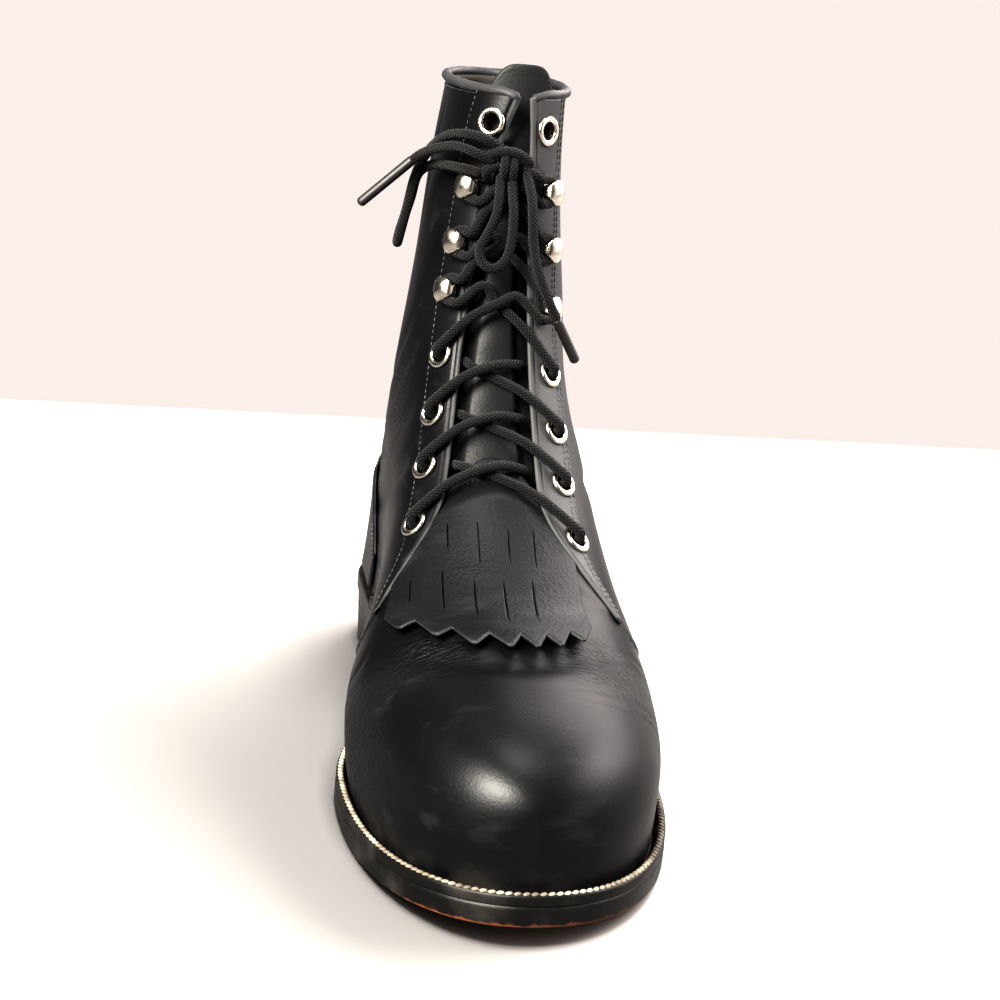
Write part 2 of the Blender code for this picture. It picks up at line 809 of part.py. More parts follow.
def build_hook(name, row, side):
    """Speed hook: a base plate, a neck by the throat and a cap that opens outwards."""
    origin, normal, up, away = lace_place(row, side)
    low = STAY_TOP + GAP
    path = (
        (3.6, 0.5, 4.6),
        (0.0, 0.5, 7.4),
        (-3.0, 0.5, 5.6),
        (-4.4, 1.3, 4.4),
        (-4.9, 3.2, 4.4),
        (-4.0, 5.0, 6.0),
        (-1.5, 6.0, 8.0),
        (1.5, 6.1, 8.2),
        (4.0, 5.4, 6.6),
        (5.0, 4.9, 3.6),
    )
    rings = []
    for i, (out, rise, width) in enumerate(path):
        before = path[max(i - 1, 0)]
        after = path[min(i + 1, len(path) - 1)]
        run = away * (after[0] - before[0]) + normal * (after[1] - before[1])
        run /= np.linalg.norm(run)
        face = np.cross(run, up)
        centre = origin + away * out + normal * (low + rise)
        rings.append([
            centre + up * width / 2.0 + face * 0.5,
            centre - up * width / 2.0 + face * 0.5,
            centre - up * width / 2.0 - face * 0.5,
            centre + up * width / 2.0 - face * 0.5,
        ])
    return add_object(name, skinned(rings), "nickel")


def build_cutter():
    """Cylinders for the eyelet holes, kept as a guide."""
    bm = bmesh.new()
    for row in LACE_ROWS:
        if row.kind == "hook":
            continue
        for side in (MEDIAL, LATERAL):
            rings = lathe(lace_place(row, side), ((EYELET_HOLE, -5.0), (EYELET_HOLE, 5.0)), 10)
            rows = [[bm.verts.new(p) for p in ring] for ring in rings]
            for i in range(10):
                j = (i + 1) % 10
                bm.faces.new((rows[0][i], rows[0][j], rows[1][j], rows[1][i]))
            bm.faces.new(rows[0])
            bm.faces.new(rows[1])
    made = add_object("eyelet_holes", bm, "nickel")
    made.hide_render = True
    made.display_type = "WIRE"
    return made


def smooth_route(route, step):
    """Points at even steps along a smooth curve through route points."""
    route = np.array(route, float)
    ends = np.vstack([2.0 * route[0] - route[1], route, 2.0 * route[-1] - route[-2]])
    fine = []
    for i in range(1, len(ends) - 2):
        a, b, c, d = ends[i - 1:i + 3]
        for t in np.linspace(0.0, 1.0, 16, endpoint=False):
            value = 2.0 * b + (c - a) * t + (2.0 * a - 5.0 * b + 4.0 * c - d) * t * t
            fine.append(0.5 * (value + (3.0 * b - a - 3.0 * c + d) * t ** 3))
    fine.append(route[-1])
    fine = np.array(fine)
    length = np.concatenate([[0.0], np.cumsum(np.linalg.norm(np.diff(fine, axis=0), axis=1))])
    count = max(int(round(length[-1] / step)), 2) + 1
    places = np.linspace(0.0, length[-1], count)
    return np.stack([np.interp(places, length, fine[:, k]) for k in range(3)], axis=1)


def tube_mesh(points, radius, sides=6):
    """Round bar along points."""
    rings = []
    side = None
    for i, point in enumerate(points):
        run = points[min(i + 1, len(points) - 1)] - points[max(i - 1, 0)]
        run /= np.linalg.norm(run)
        if side is None:
            side = np.cross(run, (0.0, 1.0, 0.0))
        side = side - run * np.dot(side, run)
        side /= np.linalg.norm(side)
        other = np.cross(run, side)
        ring = []
        for k in range(sides):
            angle = math.pi * 2.0 * k / sides
            ring.append(point + (side * math.cos(angle) + other * math.sin(angle)) * radius)
        rings.append(ring)
    return skinned(rings)


def strand_start(row, side):
    """Where a strand leaves an eyelet or a hook."""
    u = lace_u(row, side)
    edge = stay_edge(u, side)
    if row.kind == "hook":
        return u + 0.05, edge + row.inset - 7.9, STAY_TOP + LACE_RADIUS + 0.6
    return u, edge + row.inset, STAY_TOP + GAP + FLANGE_THICK + LACE_RADIUS + 0.4


def strand_stop(row, side):
    """Where a strand goes under the facing, or up to a hook."""
    u = lace_u(row, side)
    edge = stay_edge(u, side)
    if row.kind == "hook":
        return u - 0.12, edge + row.inset - 7.9, STAY_TOP + LACE_RADIUS + 0.6
    return u - 0.06, edge - LACE_RADIUS - 1.2, 0.6


def build_crossing(name, lower, upper):
    """Two strands that cross over the throat, joined where they meet."""
    bars = []
    for side in (MEDIAL, LATERAL):
        u_from, s_from, lift_from = strand_start(lower, side)
        u_to, s_to, lift_to = strand_stop(upper, -side)
        u_mid = mix(u_from, u_to, 0.62)
        edge = stay_edge(u_from, side)
        route = [
            raised(u_from, side * s_from, lift_from),
            raised(mix(u_from, u_mid, 0.45), side * mix(edge, s_from, 0.1), STAY_TOP + LACE_RADIUS + 0.9),
            raised(u_mid, 0.0, 3.4),
            raised(mix(u_mid, u_to, 0.6), -side * 0.6 * s_to, mix(3.4, lift_to, 0.55)),
            raised(u_to, -side * s_to, lift_to),
        ]
        points = smooth_route(route, 4.5)
        bars.append(add_object(name + "_bar", tube_mesh(points, LACE_RADIUS), "lace"))
    first, second = bars
    change = first.modifiers.new("join", "BOOLEAN")
    change.operation = "UNION"
    change.solver = "EXACT"
    change.object = second
    graph = bpy.context.evaluated_depsgraph_get()
    made = bpy.data.meshes.new_from_object(first.evaluated_get(graph))
    first.modifiers.clear()
    first.data = made
    first.name = name
    made.name = name
    bpy.data.objects.remove(second, do_unlink=True)
    return first


# Bow: route points of each cord, in millimetres
KNOT = ((-5.0, 40.6, 213.0), (4.2, 40.6, 212.6))
KNOT_RADIUS = 3.1
BOW = {
    "lace_end_medial": (
        (-5.7, 39.6, 213.4), (-13.5, 38.5, 216.6), (-19.4, 44.0, 217.8),
        (-25.5, 52.0, 216.0), (-30.0, 58.5, 213.0), (-33.5, 62.0, 209.6),
    ),
    "lace_loop_medial": (
        (-2.6, 40.0, 218.3), (-9.5, 38.6, 221.6), (-16.5, 43.0, 222.6), (-23.0, 54.0, 220.0),
        (-28.0, 65.0, 212.0), (-31.0, 68.0, 203.0), (-33.0, 68.0, 192.0), (-35.0, 69.0, 181.0),
        (-35.5, 72.5, 177.5), (-34.0, 76.0, 181.5), (-31.0, 76.5, 194.0), (-29.0, 74.0, 204.0),
        (-24.5, 62.0, 209.0), (-17.5, 46.0, 210.0), (-10.2, 39.0, 209.4),
    ),
    "lace_loop_lateral": (
        (-3.0, 39.2, 209.3), (-3.6, 34.8, 202.0), (-4.4, 33.0, 195.0), (-7.0, 33.0, 188.0),
        (-9.4, 33.0, 182.5), (-8.0, 32.0, 177.4), (-3.4, 31.0, 176.0), (0.4, 30.5, 180.0),
        (1.8, 30.5, 187.0), (1.8, 31.5, 196.0), (1.5, 34.8, 202.0), (1.3, 39.2, 209.0),
    ),
    "lace_end_lateral": (
        (6.3, 39.2, 211.4), (8.2, 34.0, 203.0), (9.0, 31.5, 195.0), (10.0, 31.0, 186.0),
        (12.4, 29.5, 176.3), (17.2, 29.5, 166.0), (21.8, 31.0, 157.8),
    ),
}
AGLET = {
    "aglet_medial": ((-34.3, 62.3, 208.9), (-51.6, 66.0, 191.8)),
    "aglet_lateral": ((22.3, 31.2, 156.9), (31.4, 35.5, 142.0)),
}


def build_cord(name, points, radius, finish):
    """Cord as a round tube with filled ends."""
    line = bpy.data.curves.new(name, "CURVE")
    line.dimensions = "3D"
    line.bevel_depth = radius * MM
    line.bevel_resolution = 2
    line.use_fill_caps = True
    spline = line.splines.new("POLY")
    spline.points.add(len(points) - 1)
    for slot, point in zip(spline.points, points):
        slot.co = (point[0] * MM, point[1] * MM, point[2] * MM, 1.0)
    line.materials.append(finish_of(finish))
    made = bpy.data.objects.new(name, line)
    bpy.context.scene.collection.objects.link(made)
    return made


def build_bow():
    """Knot, loops and ends of the bow, with the aglets."""
    build_cord("lace_knot", smooth_route(KNOT, 4.6), KNOT_RADIUS, "lace")
    for name, route in BOW.items():
        build_cord(name, smooth_route(route, 5.6), LACE_RADIUS, "lace")
    for name, route in AGLET.items():
        build_cord(name, smooth_route(route, 8.0), LACE_RADIUS * 0.95, "aglet")


def build_all():
    """Build every piece of the boot."""
    clear_scene()
    cutter = build_cutter()
    build_outsole()
    build_heel()
    build_welt()
    build_insole()
    build_upper(cutter)
    build_tongue()
    build_kiltie()
    build_counter()
    build_collar()
    for side, word in ((MEDIAL, "medial"), (LATERAL, "lateral")):
        build_eyestay(side, cutter)
        for i, row in enumerate(LACE_ROWS):
            name = "%s_%s_%d" % (row.kind, word, i + 1)
            if row.kind == "hook":
                build_hook(name, row, side)
            else:
                build_eyelet(name, row, side)
    for i in range(len(LACE_ROWS) - 2):
        build_crossing("lace_crossing_%d" % (i + 1), LACE_ROWS[i], LACE_ROWS[i + 1])
    build_bow()


if __name__ == "__main__":
    build_all()
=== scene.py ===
"""Finish of the lace-up roper boot: leather, welt, metal, lace, floor, light and camera.

Lengths are millimetres on the last and metres in a mesh. The toe points to -Y, the outer side of
the foot to +X and the collar to +Z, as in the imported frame. A place on the upper is a section u,
counted from the toe tip to the collar, and a distance s from the ridge, below zero on the inner side.
"""
from __future__ import annotations

import logging
import math
from dataclasses import dataclass, field
from enum import Enum
from typing import Callable, Sequence

import bmesh
import bpy
import numpy as np
from bpy.types import ID, Material, Node, NodeSocket, NodeTree, Object
from mathutils import Matrix, Vector

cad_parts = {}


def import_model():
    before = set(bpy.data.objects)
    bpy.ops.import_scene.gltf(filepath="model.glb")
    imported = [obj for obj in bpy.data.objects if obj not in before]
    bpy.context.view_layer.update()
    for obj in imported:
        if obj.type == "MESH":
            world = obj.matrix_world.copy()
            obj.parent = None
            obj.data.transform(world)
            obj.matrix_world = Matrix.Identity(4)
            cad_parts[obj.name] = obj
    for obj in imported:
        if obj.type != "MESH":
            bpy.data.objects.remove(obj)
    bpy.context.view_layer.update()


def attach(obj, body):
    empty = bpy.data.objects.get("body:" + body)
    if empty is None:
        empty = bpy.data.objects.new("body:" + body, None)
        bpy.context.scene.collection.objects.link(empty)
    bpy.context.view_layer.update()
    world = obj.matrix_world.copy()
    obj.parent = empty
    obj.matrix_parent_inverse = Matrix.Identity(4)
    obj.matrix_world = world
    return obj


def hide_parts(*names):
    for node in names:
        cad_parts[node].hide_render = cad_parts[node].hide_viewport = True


LOG = logging.getLogger("roper_boot")
MM = 0.001
BODY = "root"
Array = np.ndarray
Number = float | Array
Point = tuple[float, float, float]
Colour = tuple[float, float, float, float]
Face = tuple[int, ...]


class Side(Enum):
    """Side of the foot, with the sign of its X direction."""

    MEDIAL = -1
    LATERAL = 1

    @property
    def word(self) -> str:
        """Name of the side in piece names."""
        return self.name.lower()

    def of(self, medial: object, lateral: object) -> object:
        """The one of two values that belongs to the side."""
        return medial if self is Side.MEDIAL else lateral


class Holder(Enum):
    """What holds the lace in a row."""

    EYELET = "eyelet"
    HOOK = "hook"


def ease(t: Number) -> Number:
    """Smooth step from 0 to 1."""
    t = np.clip(t, 0.0, 1.0)
    return t * t * (3.0 - 2.0 * t)


def mix(a: Number, b: Number, t: Number) -> Number:
    """Straight blend of two values."""
    return a + (b - a) * t


def unit(vectors: Array) -> Array:
    """Vectors at length one."""
    return vectors / np.maximum(np.linalg.norm(vectors, axis=-1, keepdims=True), 1e-9)


def run_length(points: Array) -> Array:
    """Distance of each point along its line."""
    return np.concatenate([[0.0], np.cumsum(np.linalg.norm(np.diff(points, axis=0), axis=1))])


def spread(points: Array, run: Array, steps: int) -> Array:
    """Points at even steps along a line, given the distance of its own points along it."""
    even = np.linspace(0.0, run[-1], steps + 1)
    return np.stack([np.interp(even, run, points[:, k]) for k in range(points.shape[1])], axis=1)


def shade(colour: Colour, amount: float) -> Colour:
    """Colour made lighter or darker."""
    return tuple(amount * c for c in colour[:3]) + (1.0,)


def circle(count: int) -> Array:
    """Angles round a circle."""
    return np.linspace(0.0, 2.0 * math.pi, count, endpoint=False)


class Spline:
    """Natural cubic through values at rising stations, straight beyond its ends."""

    def __init__(self, xs: Sequence[float], ys: Sequence[float]) -> None:
        """Work out the bends.

        Args:
            xs: Rising stations.
            ys: Values at the stations.
        """
        self.xs = np.array(xs, float)
        self.ys = np.array(ys, float)
        count = len(self.xs)
        step = np.diff(self.xs)
        system = np.eye(count)
        right = np.zeros(count)
        slope = np.diff(self.ys) / step
        for i in range(1, count - 1):
            system[i, i - 1:i + 2] = step[i - 1], 2.0 * (step[i - 1] + step[i]), step[i]
            right[i] = 6.0 * (slope[i] - slope[i - 1])
        self.bend = np.linalg.solve(system, right)

    def at(self, x: Number) -> Array:
        """Values at stations.

        Args:
            x: One station or many.

        Returns:
            Value for each station.
        """
        xs, ys, bend = self.xs, self.ys, self.bend
        x = np.asarray(x, float)
        i = np.clip(np.searchsorted(xs, x) - 1, 0, len(xs) - 2)
        h = xs[i + 1] - xs[i]
        inside = np.clip(x, xs[0], xs[-1])
        a = (xs[i + 1] - inside) / h
        b = (inside - xs[i]) / h
        value = a * ys[i] + b * ys[i + 1]
        value = value + ((a ** 3 - a) * bend[i] + (b ** 3 - b) * bend[i + 1]) * h * h / 6.0
        slope = (ys[i + 1] - ys[i]) / h - (3.0 * a * a - 1.0) * bend[i] * h / 6.0
        slope = slope + (3.0 * b * b - 1.0) * bend[i + 1] * h / 6.0
        return value + slope * (x - inside)


@dataclass(frozen=True)
class Outline:
    """Half of the sole's plan."""

    ball_y: float
    ball: float
    waist_y: float
    waist: float
    heel: float


@dataclass(frozen=True)
class SoleShape:
    """Plan and profile of the sole."""

    gap: float = 0.3
    toe_y: float = -148.0
    heel_y: float = 148.0
    tip_x: float = -5.0
    toe_power: float = 2.1
    turn_y: float = 111.0
    toe_spring: float = 6.0
    spring_y: float = -78.0
    arch_y: float = -16.0
    breast_y: float = 72.0
    heel_height: float = 23.0
    thick: float = 7.0
    welt_reach: float = 5.0
    seat_reach: float = 2.5
    medial: Outline = Outline(-54.0, 57.0, 40.0, 35.5, 36.5)
    lateral: Outline = Outline(-38.0, 57.0, 58.0, 39.0, 37.0)

    def half(self, side: Side) -> Outline:
        """Plan of one side."""
        return side.of(self.medial, self.lateral)

    def tread(self, y: Number) -> Array:
        """Height of the underside at a depth.

        Args:
            y: Depth.

        Returns:
            Height.
        """
        y = np.asarray(y, float)
        lift = np.clip((self.spring_y - y) / (self.spring_y - self.toe_y), 0.0, None)
        arch = ease((y - self.arch_y) / (self.breast_y - self.arch_y))
        return self.toe_spring * lift ** 2 + self.heel_height * arch

    def bed(self, y: Number) -> Array:
        """Height on which the upper stands at a depth."""
        return self.tread(y) + self.thick + self.gap

    def feather(self, y: float) -> float:
        """How far the upper's foot stands inside the edge."""
        return float(mix(self.welt_reach, self.seat_reach, ease((y - 10.0) / 60.0)))

    def toe_round(self, y: float, side: Side, reach: float) -> float:
        """Share of the ball width left at a depth in the toe.

        Args:
            y: Depth.
            side: Side of the foot.
            reach: Distance inside the edge.

        Returns:
            Share from 0 to 1.
        """
        ball_y = self.half(side).ball_y
        t = min(max((ball_y - y) / (ball_y - self.toe_y - reach), 0.0), 1.0)
        return (1.0 - t ** self.toe_power) ** (1.0 / self.toe_power)

    def edge(self, y: float, side: Side, reach: float) -> float:
        """Distance of the edge from the middle plane.

        Args:
            y: Depth.
            side: Side of the foot.
            reach: Distance inside the edge.

        Returns:
            Distance to the side.
        """
        line = self.half(side)
        if y <= line.ball_y:
            tip = side.value * self.tip_x
            return tip + (line.ball - reach - tip) * self.toe_round(y, side, reach)
        if y <= line.waist_y:
            share = ease((y - line.ball_y) / (line.waist_y - line.ball_y))
            return float(mix(line.ball, line.waist, share)) - reach
        if y <= self.turn_y:
            share = ease((y - line.waist_y) / (self.turn_y - line.waist_y))
            return float(mix(line.waist, line.heel, share)) - reach
        t = min(max((y - self.turn_y) / (self.heel_y - reach - self.turn_y), 0.0), 1.0)
        return (line.heel - reach) * math.sqrt(1.0 - t * t)

    def rim(self, side: Side, w: float, reach: float) -> tuple[float, float]:
        """Plan point of the edge.

        Args:
            side: Side of the foot.
            w: Place, 0 at the toe tip, 1 at the ball, 2 where the seat turns, 3 at the back.
            reach: Distance inside the edge.

        Returns:
            X and Y.
        """
        line = self.half(side)
        if w <= 1.0:
            angle = w * math.pi / 2.0
            deep = max(math.cos(angle), 0.0) ** (2.0 / self.toe_power)
            wide = math.sin(angle) ** (2.0 / self.toe_power)
            tip = side.value * self.tip_x
            y = line.ball_y - (line.ball_y - self.toe_y - reach) * deep
            return side.value * (tip + (line.ball - reach - tip) * wide), y
        if w <= 2.0:
            y = mix(line.ball_y, self.turn_y, w - 1.0)
            return side.value * self.edge(y, side, reach), y
        angle = (w - 2.0) * math.pi / 2.0
        y = self.turn_y + (self.heel_y - reach - self.turn_y) * math.sin(angle)
        return side.value * (line.heel - reach) * max(math.cos(angle), 0.0), y

    def place(self, side: Side, y: float) -> float:
        """Place along the rim of a depth between ball and seat."""
        ball_y = self.half(side).ball_y
        return 1.0 + (y - ball_y) / (self.turn_y - ball_y)


@dataclass(frozen=True)
class Section:
    """One section of the last."""

    trail: float
    front_y: float
    front_z: float
    ridge_x: float
    full_med: float
    full_lat: float
    full_at: float
    low: float
    brow: float


BACK_ON = 163.0
SECTIONS = tuple(Section(*row) for row in (
    (-143.0, -143.0, 57.0, -5.0, 53.0, 53.0, 0.36, 1.6, 2.3),
    (-100.0, -100.0, 62.0, -5.0, 53.5, 53.0, 0.36, 1.6, 2.3),
    (-63.0, -59.0, 68.0, -5.0, 55.0, 53.5, 0.36, 1.6, 2.15),
    (-38.0, -31.0, 79.0, -4.0, 53.5, 54.5, 0.34, 1.6, 2.0),
    (-12.0, -6.0, 96.0, -3.0, 46.5, 52.5, 0.33, 1.6, 1.9),
    (16.0, 13.0, 115.0, -2.0, 39.5, 48.5, 0.34, 1.7, 1.9),
    (50.0, 27.0, 137.0, -1.0, 34.5, 43.5, 0.37, 2.0, 1.95),
    (111.0, 38.0, 165.0, 0.0, 32.5, 39.0, 0.43, 2.0, 2.0),
    (BACK_ON, 43.0, 190.0, 1.0, 31.0, 36.5, 0.48, 2.6, 2.1),
    (BACK_ON + 49.0, 45.0, 206.0, 2.0, 28.0, 33.0, 0.50, 2.5, 2.1),
    (BACK_ON + 104.0, 46.0, 219.0, 3.0, 24.5, 29.5, 0.50, 2.2, 2.1),
    (BACK_ON + 161.0, 46.5, 229.0, 4.0, 21.5, 27.5, 0.50, 2.2, 2.1),
    (BACK_ON + 209.0, 47.0, 237.0, 5.0, 17.5, 27.0, 0.50, 2.2, 2.1),
))
COLLAR_U = float(len(SECTIONS) - 1)
SEAT_U = 8.0
BACK_HEIGHTS = (30.0, 60.0, 95.0, 140.0, 190.0, 250.0)
BACK_DEPTHS = (145.5, 147.0, 144.5, 140.0, 138.5, 139.5)


class Last:
    """Outer face of the upper, read from a fine table of its sections."""

    STEP = 0.02
    FIRST = -0.1
    LAST = 13.8
    CURVE_STEPS = 160
    SAMPLES = 320
    FOOT_RISE = 0.5
    NORMAL_U = 0.03
    NORMAL_S = 0.8
    RISE_U = 0.05
    NOSE_Y = -96.0
    NOSE_Z = 33.0
    NOSE_POWER = 2.4

    def __init__(self, sole: SoleShape) -> None:
        """Make the tables of both sides.

        Args:
            sole: Sole on which the upper stands.
        """
        self.sole = sole
        stations = range(len(SECTIONS))
        names = Section.__dataclass_fields__
        self.column = {n: Spline(stations, [getattr(row, n) for row in SECTIONS]) for n in names}
        self.back = Spline(BACK_HEIGHTS, BACK_DEPTHS)
        self.table = {side: self.make_table(side) for side in Side}

    def foot(self, trail: float, side: Side) -> tuple[float, float, float]:
        """Foot of a section.

        Args:
            trail: Distance along the sole's edge and up the back.
            side: Side of the foot.

        Returns:
            Depth, height and distance from the middle plane.
        """
        sole = self.sole
        if trail <= sole.turn_y:
            half = sole.edge(trail, side, sole.feather(trail))
            return trail, float(sole.bed(trail)) + self.FOOT_RISE, half
        if trail <= BACK_ON:
            angle = math.pi / 2.0 * (trail - sole.turn_y) / (BACK_ON - sole.turn_y)
            y = sole.turn_y + (sole.heel_y - sole.seat_reach - sole.turn_y) * math.sin(angle)
            half = (sole.half(side).heel - sole.seat_reach) * math.cos(angle)
            return y, float(sole.bed(y)) + self.FOOT_RISE, half
        z = float(sole.bed(sole.heel_y)) + self.FOOT_RISE + trail - BACK_ON
        return float(self.back.at(z)), z, 0.0

    def half_section(self, u: float, side: Side) -> tuple[Array, float]:
        """Points of a half section, evenly spread from the ridge to its foot.

        Args:
            u: Section.
            side: Side of the foot.

        Returns:
            Points and the length of the half section.
        """
        sole = self.sole
        row = Section(*[float(self.column[n].at(u)) for n in Section.__dataclass_fields__])
        base_y, base_z, base_half = self.foot(row.trail, side)
        on_back = min(max((row.trail - sole.turn_y) / (BACK_ON - sole.turn_y), 0.0), 1.0)
        low_half = base_half - side.value * row.ridge_x * (1.0 - on_back)
        full = side.of(row.full_med, row.full_lat) - side.value * row.ridge_x
        front_z = row.front_z
        if row.trail < sole.half(side).ball_y:
            full *= sole.toe_round(row.trail, side, sole.welt_reach)
        if row.trail < self.NOSE_Y:
            t = min((self.NOSE_Y - row.trail) / (self.NOSE_Y - sole.toe_y - sole.welt_reach), 1.0)
            share = (1.0 - t ** self.NOSE_POWER) ** (1.0 / self.NOSE_POWER)
            front_z = mix(self.NOSE_Z, front_z, share)
        turn = np.linspace(math.pi / 2.0, 0.0, self.CURVE_STEPS + 1)
        cos = np.clip(np.cos(turn), 0.0, 1.0)
        sin = np.clip(np.sin(turn), 0.0, 1.0)
        wide_up = full * cos ** (2.0 / row.brow)
        high_up = row.full_at + (1.0 - row.full_at) * sin ** (2.0 / row.brow)
        wide_low = low_half + (full - low_half) * sin ** (2.0 / row.low)
        high_low = row.full_at * (1.0 - cos ** (2.0 / row.low))
        wide = np.concatenate([wide_up, wide_low[1:]])
        high = np.concatenate([high_up, high_low[1:]])
        points = np.stack([
            row.ridge_x + side.value * wide,
            mix(base_y, row.front_y, high),
            mix(base_z, front_z, high),
        ], axis=1)
        run = run_length(points)
        return spread(points, run, self.SAMPLES), run[-1]

    def make_table(self, side: Side) -> tuple[Array, Array]:
        """Points and lengths of every section of a side."""
        rows = [self.half_section(u, side) for u in np.arange(self.FIRST, self.LAST, self.STEP)]
        return np.array([row[0] for row in rows]), np.array([row[1] for row in rows])

    def girth(self, u: Number, side: Side) -> Array:
        """Length of half sections from the ridge to the foot."""
        length = self.table[side][1]
        return np.interp(u, self.FIRST + self.STEP * np.arange(len(length)), length)

    def reach(self, u: Array, sign: Array) -> Array:
        """Length of half sections on the sides that signs name."""
        return np.where(sign < 0.0, self.girth(u, Side.MEDIAL), self.girth(u, Side.LATERAL))

    def read(self, side: Side, u: Array, s: Array) -> Array:
        """Points of one side from the table.

        Args:
            side: Side of the foot.
            u: Sections.
            s: Distances from the ridge, above zero.

        Returns:
            A point for each place.
        """
        points, length = self.table[side]
        row = np.clip((u - self.FIRST) / self.STEP, 0.0, len(length) - 1.001)
        low = row.astype(int)

        def on(i: Array) -> Array:
            """Points on the table's own rows.

            Args:
                i: Rows.

            Returns:
                A point for each place.
            """
            place = np.clip(s / np.maximum(length[i], 1e-6), 0.0, 1.0) * self.SAMPLES
            k = np.minimum(place.astype(int), self.SAMPLES - 1)
            return mix(points[i, k], points[i, k + 1], (place - k)[:, None])

        return mix(on(low), on(low + 1), (row - low)[:, None])

    def skin(self, u: Number, s: Number) -> Array:
        """Points of the outer face.

        Args:
            u: Sections.
            s: Signed distances from the ridge.

        Returns:
            A point for each place.
        """
        u, s = np.broadcast_arrays(np.asarray(u, float), np.asarray(s, float))
        shape = u.shape
        u, s = u.ravel(), s.ravel()
        out = np.empty((u.size, 3))
        for side in Side:
            pick = s < 0.0 if side is Side.MEDIAL else s >= 0.0
            out[pick] = self.read(side, u[pick], np.abs(s[pick]))
        return out.reshape(shape + (3,))

    def outward(self, u: Number, s: Number) -> Array:
        """Normals of the outer face at places.

        Args:
            u: Sections.
            s: Signed distances from the ridge.

        Returns:
            A normal for each place.
        """
        u, s = np.broadcast_arrays(np.asarray(u, float), np.asarray(s, float))
        along = self.skin(u + self.NORMAL_U, s) - self.skin(u - self.NORMAL_U, s)
        across = self.skin(u, s + self.NORMAL_S) - self.skin(u, s - self.NORMAL_S)
        return unit(np.cross(across, along))

    def upward(self, u: float, s: Number, normal: Array) -> Array:
        """Directions up the upper, square to its normals."""
        rise = self.skin(u + self.RISE_U, s) - self.skin(u - self.RISE_U, s)
        return unit(rise - normal * np.sum(rise * normal, axis=-1, keepdims=True))

    def raised(self, u: Number, s: Number, lift: Number) -> Array:
        """Points at a height over the outer face."""
        return self.skin(u, s) + self.outward(u, s) * np.asarray(lift, float)[..., None]

    def shell(
        self, u: Array, s: Array, low: Number, top: Array, flip: bool = False,
    ) -> tuple[Array, list[Face]]:
        """Closed wall between two heights over the outer face.

        Args:
            u: Sections of a grid of places.
            s: Signed distances from the ridge.
            low: Height of the underside.
            top: Height of the upper side.
            flip: True where the grid runs the other way round.

        Returns:
            Points and faces.
        """
        faces = [face[::-1] if flip else face for face in grid_faces(*s.shape)]
        outer, inner = (self.raised(u, s, lift).reshape(-1, 3) for lift in (top, low))
        return closed_shell(outer, inner, faces)


@dataclass(frozen=True)
class LaceRow:
    """One row of the lacing: section on each side and distance in from the facing's edge."""

    holder: Holder
    medial: float
    lateral: float
    inset: float

    def u(self, side: Side) -> float:
        """Section of the row on one side."""
        return side.of(self.medial, self.lateral)


LACE_ROWS = (
    LaceRow(Holder.EYELET, 4.25, 3.94, 12.2),
    LaceRow(Holder.EYELET, 5.16, 4.80, 12.4),
    LaceRow(Holder.EYELET, 5.92, 5.61, 11.8),
    LaceRow(Holder.EYELET, 6.59, 6.35, 10.7),
    LaceRow(Holder.HOOK, 7.34, 7.12, 10.4),
    LaceRow(Holder.HOOK, 8.04, 7.98, 9.8),
    LaceRow(Holder.HOOK, 9.18, 9.18, 9.2),
    LaceRow(Holder.EYELET, 10.92, 10.80, 7.0),
)
CROSSED_ROWS = LACE_ROWS[:7]


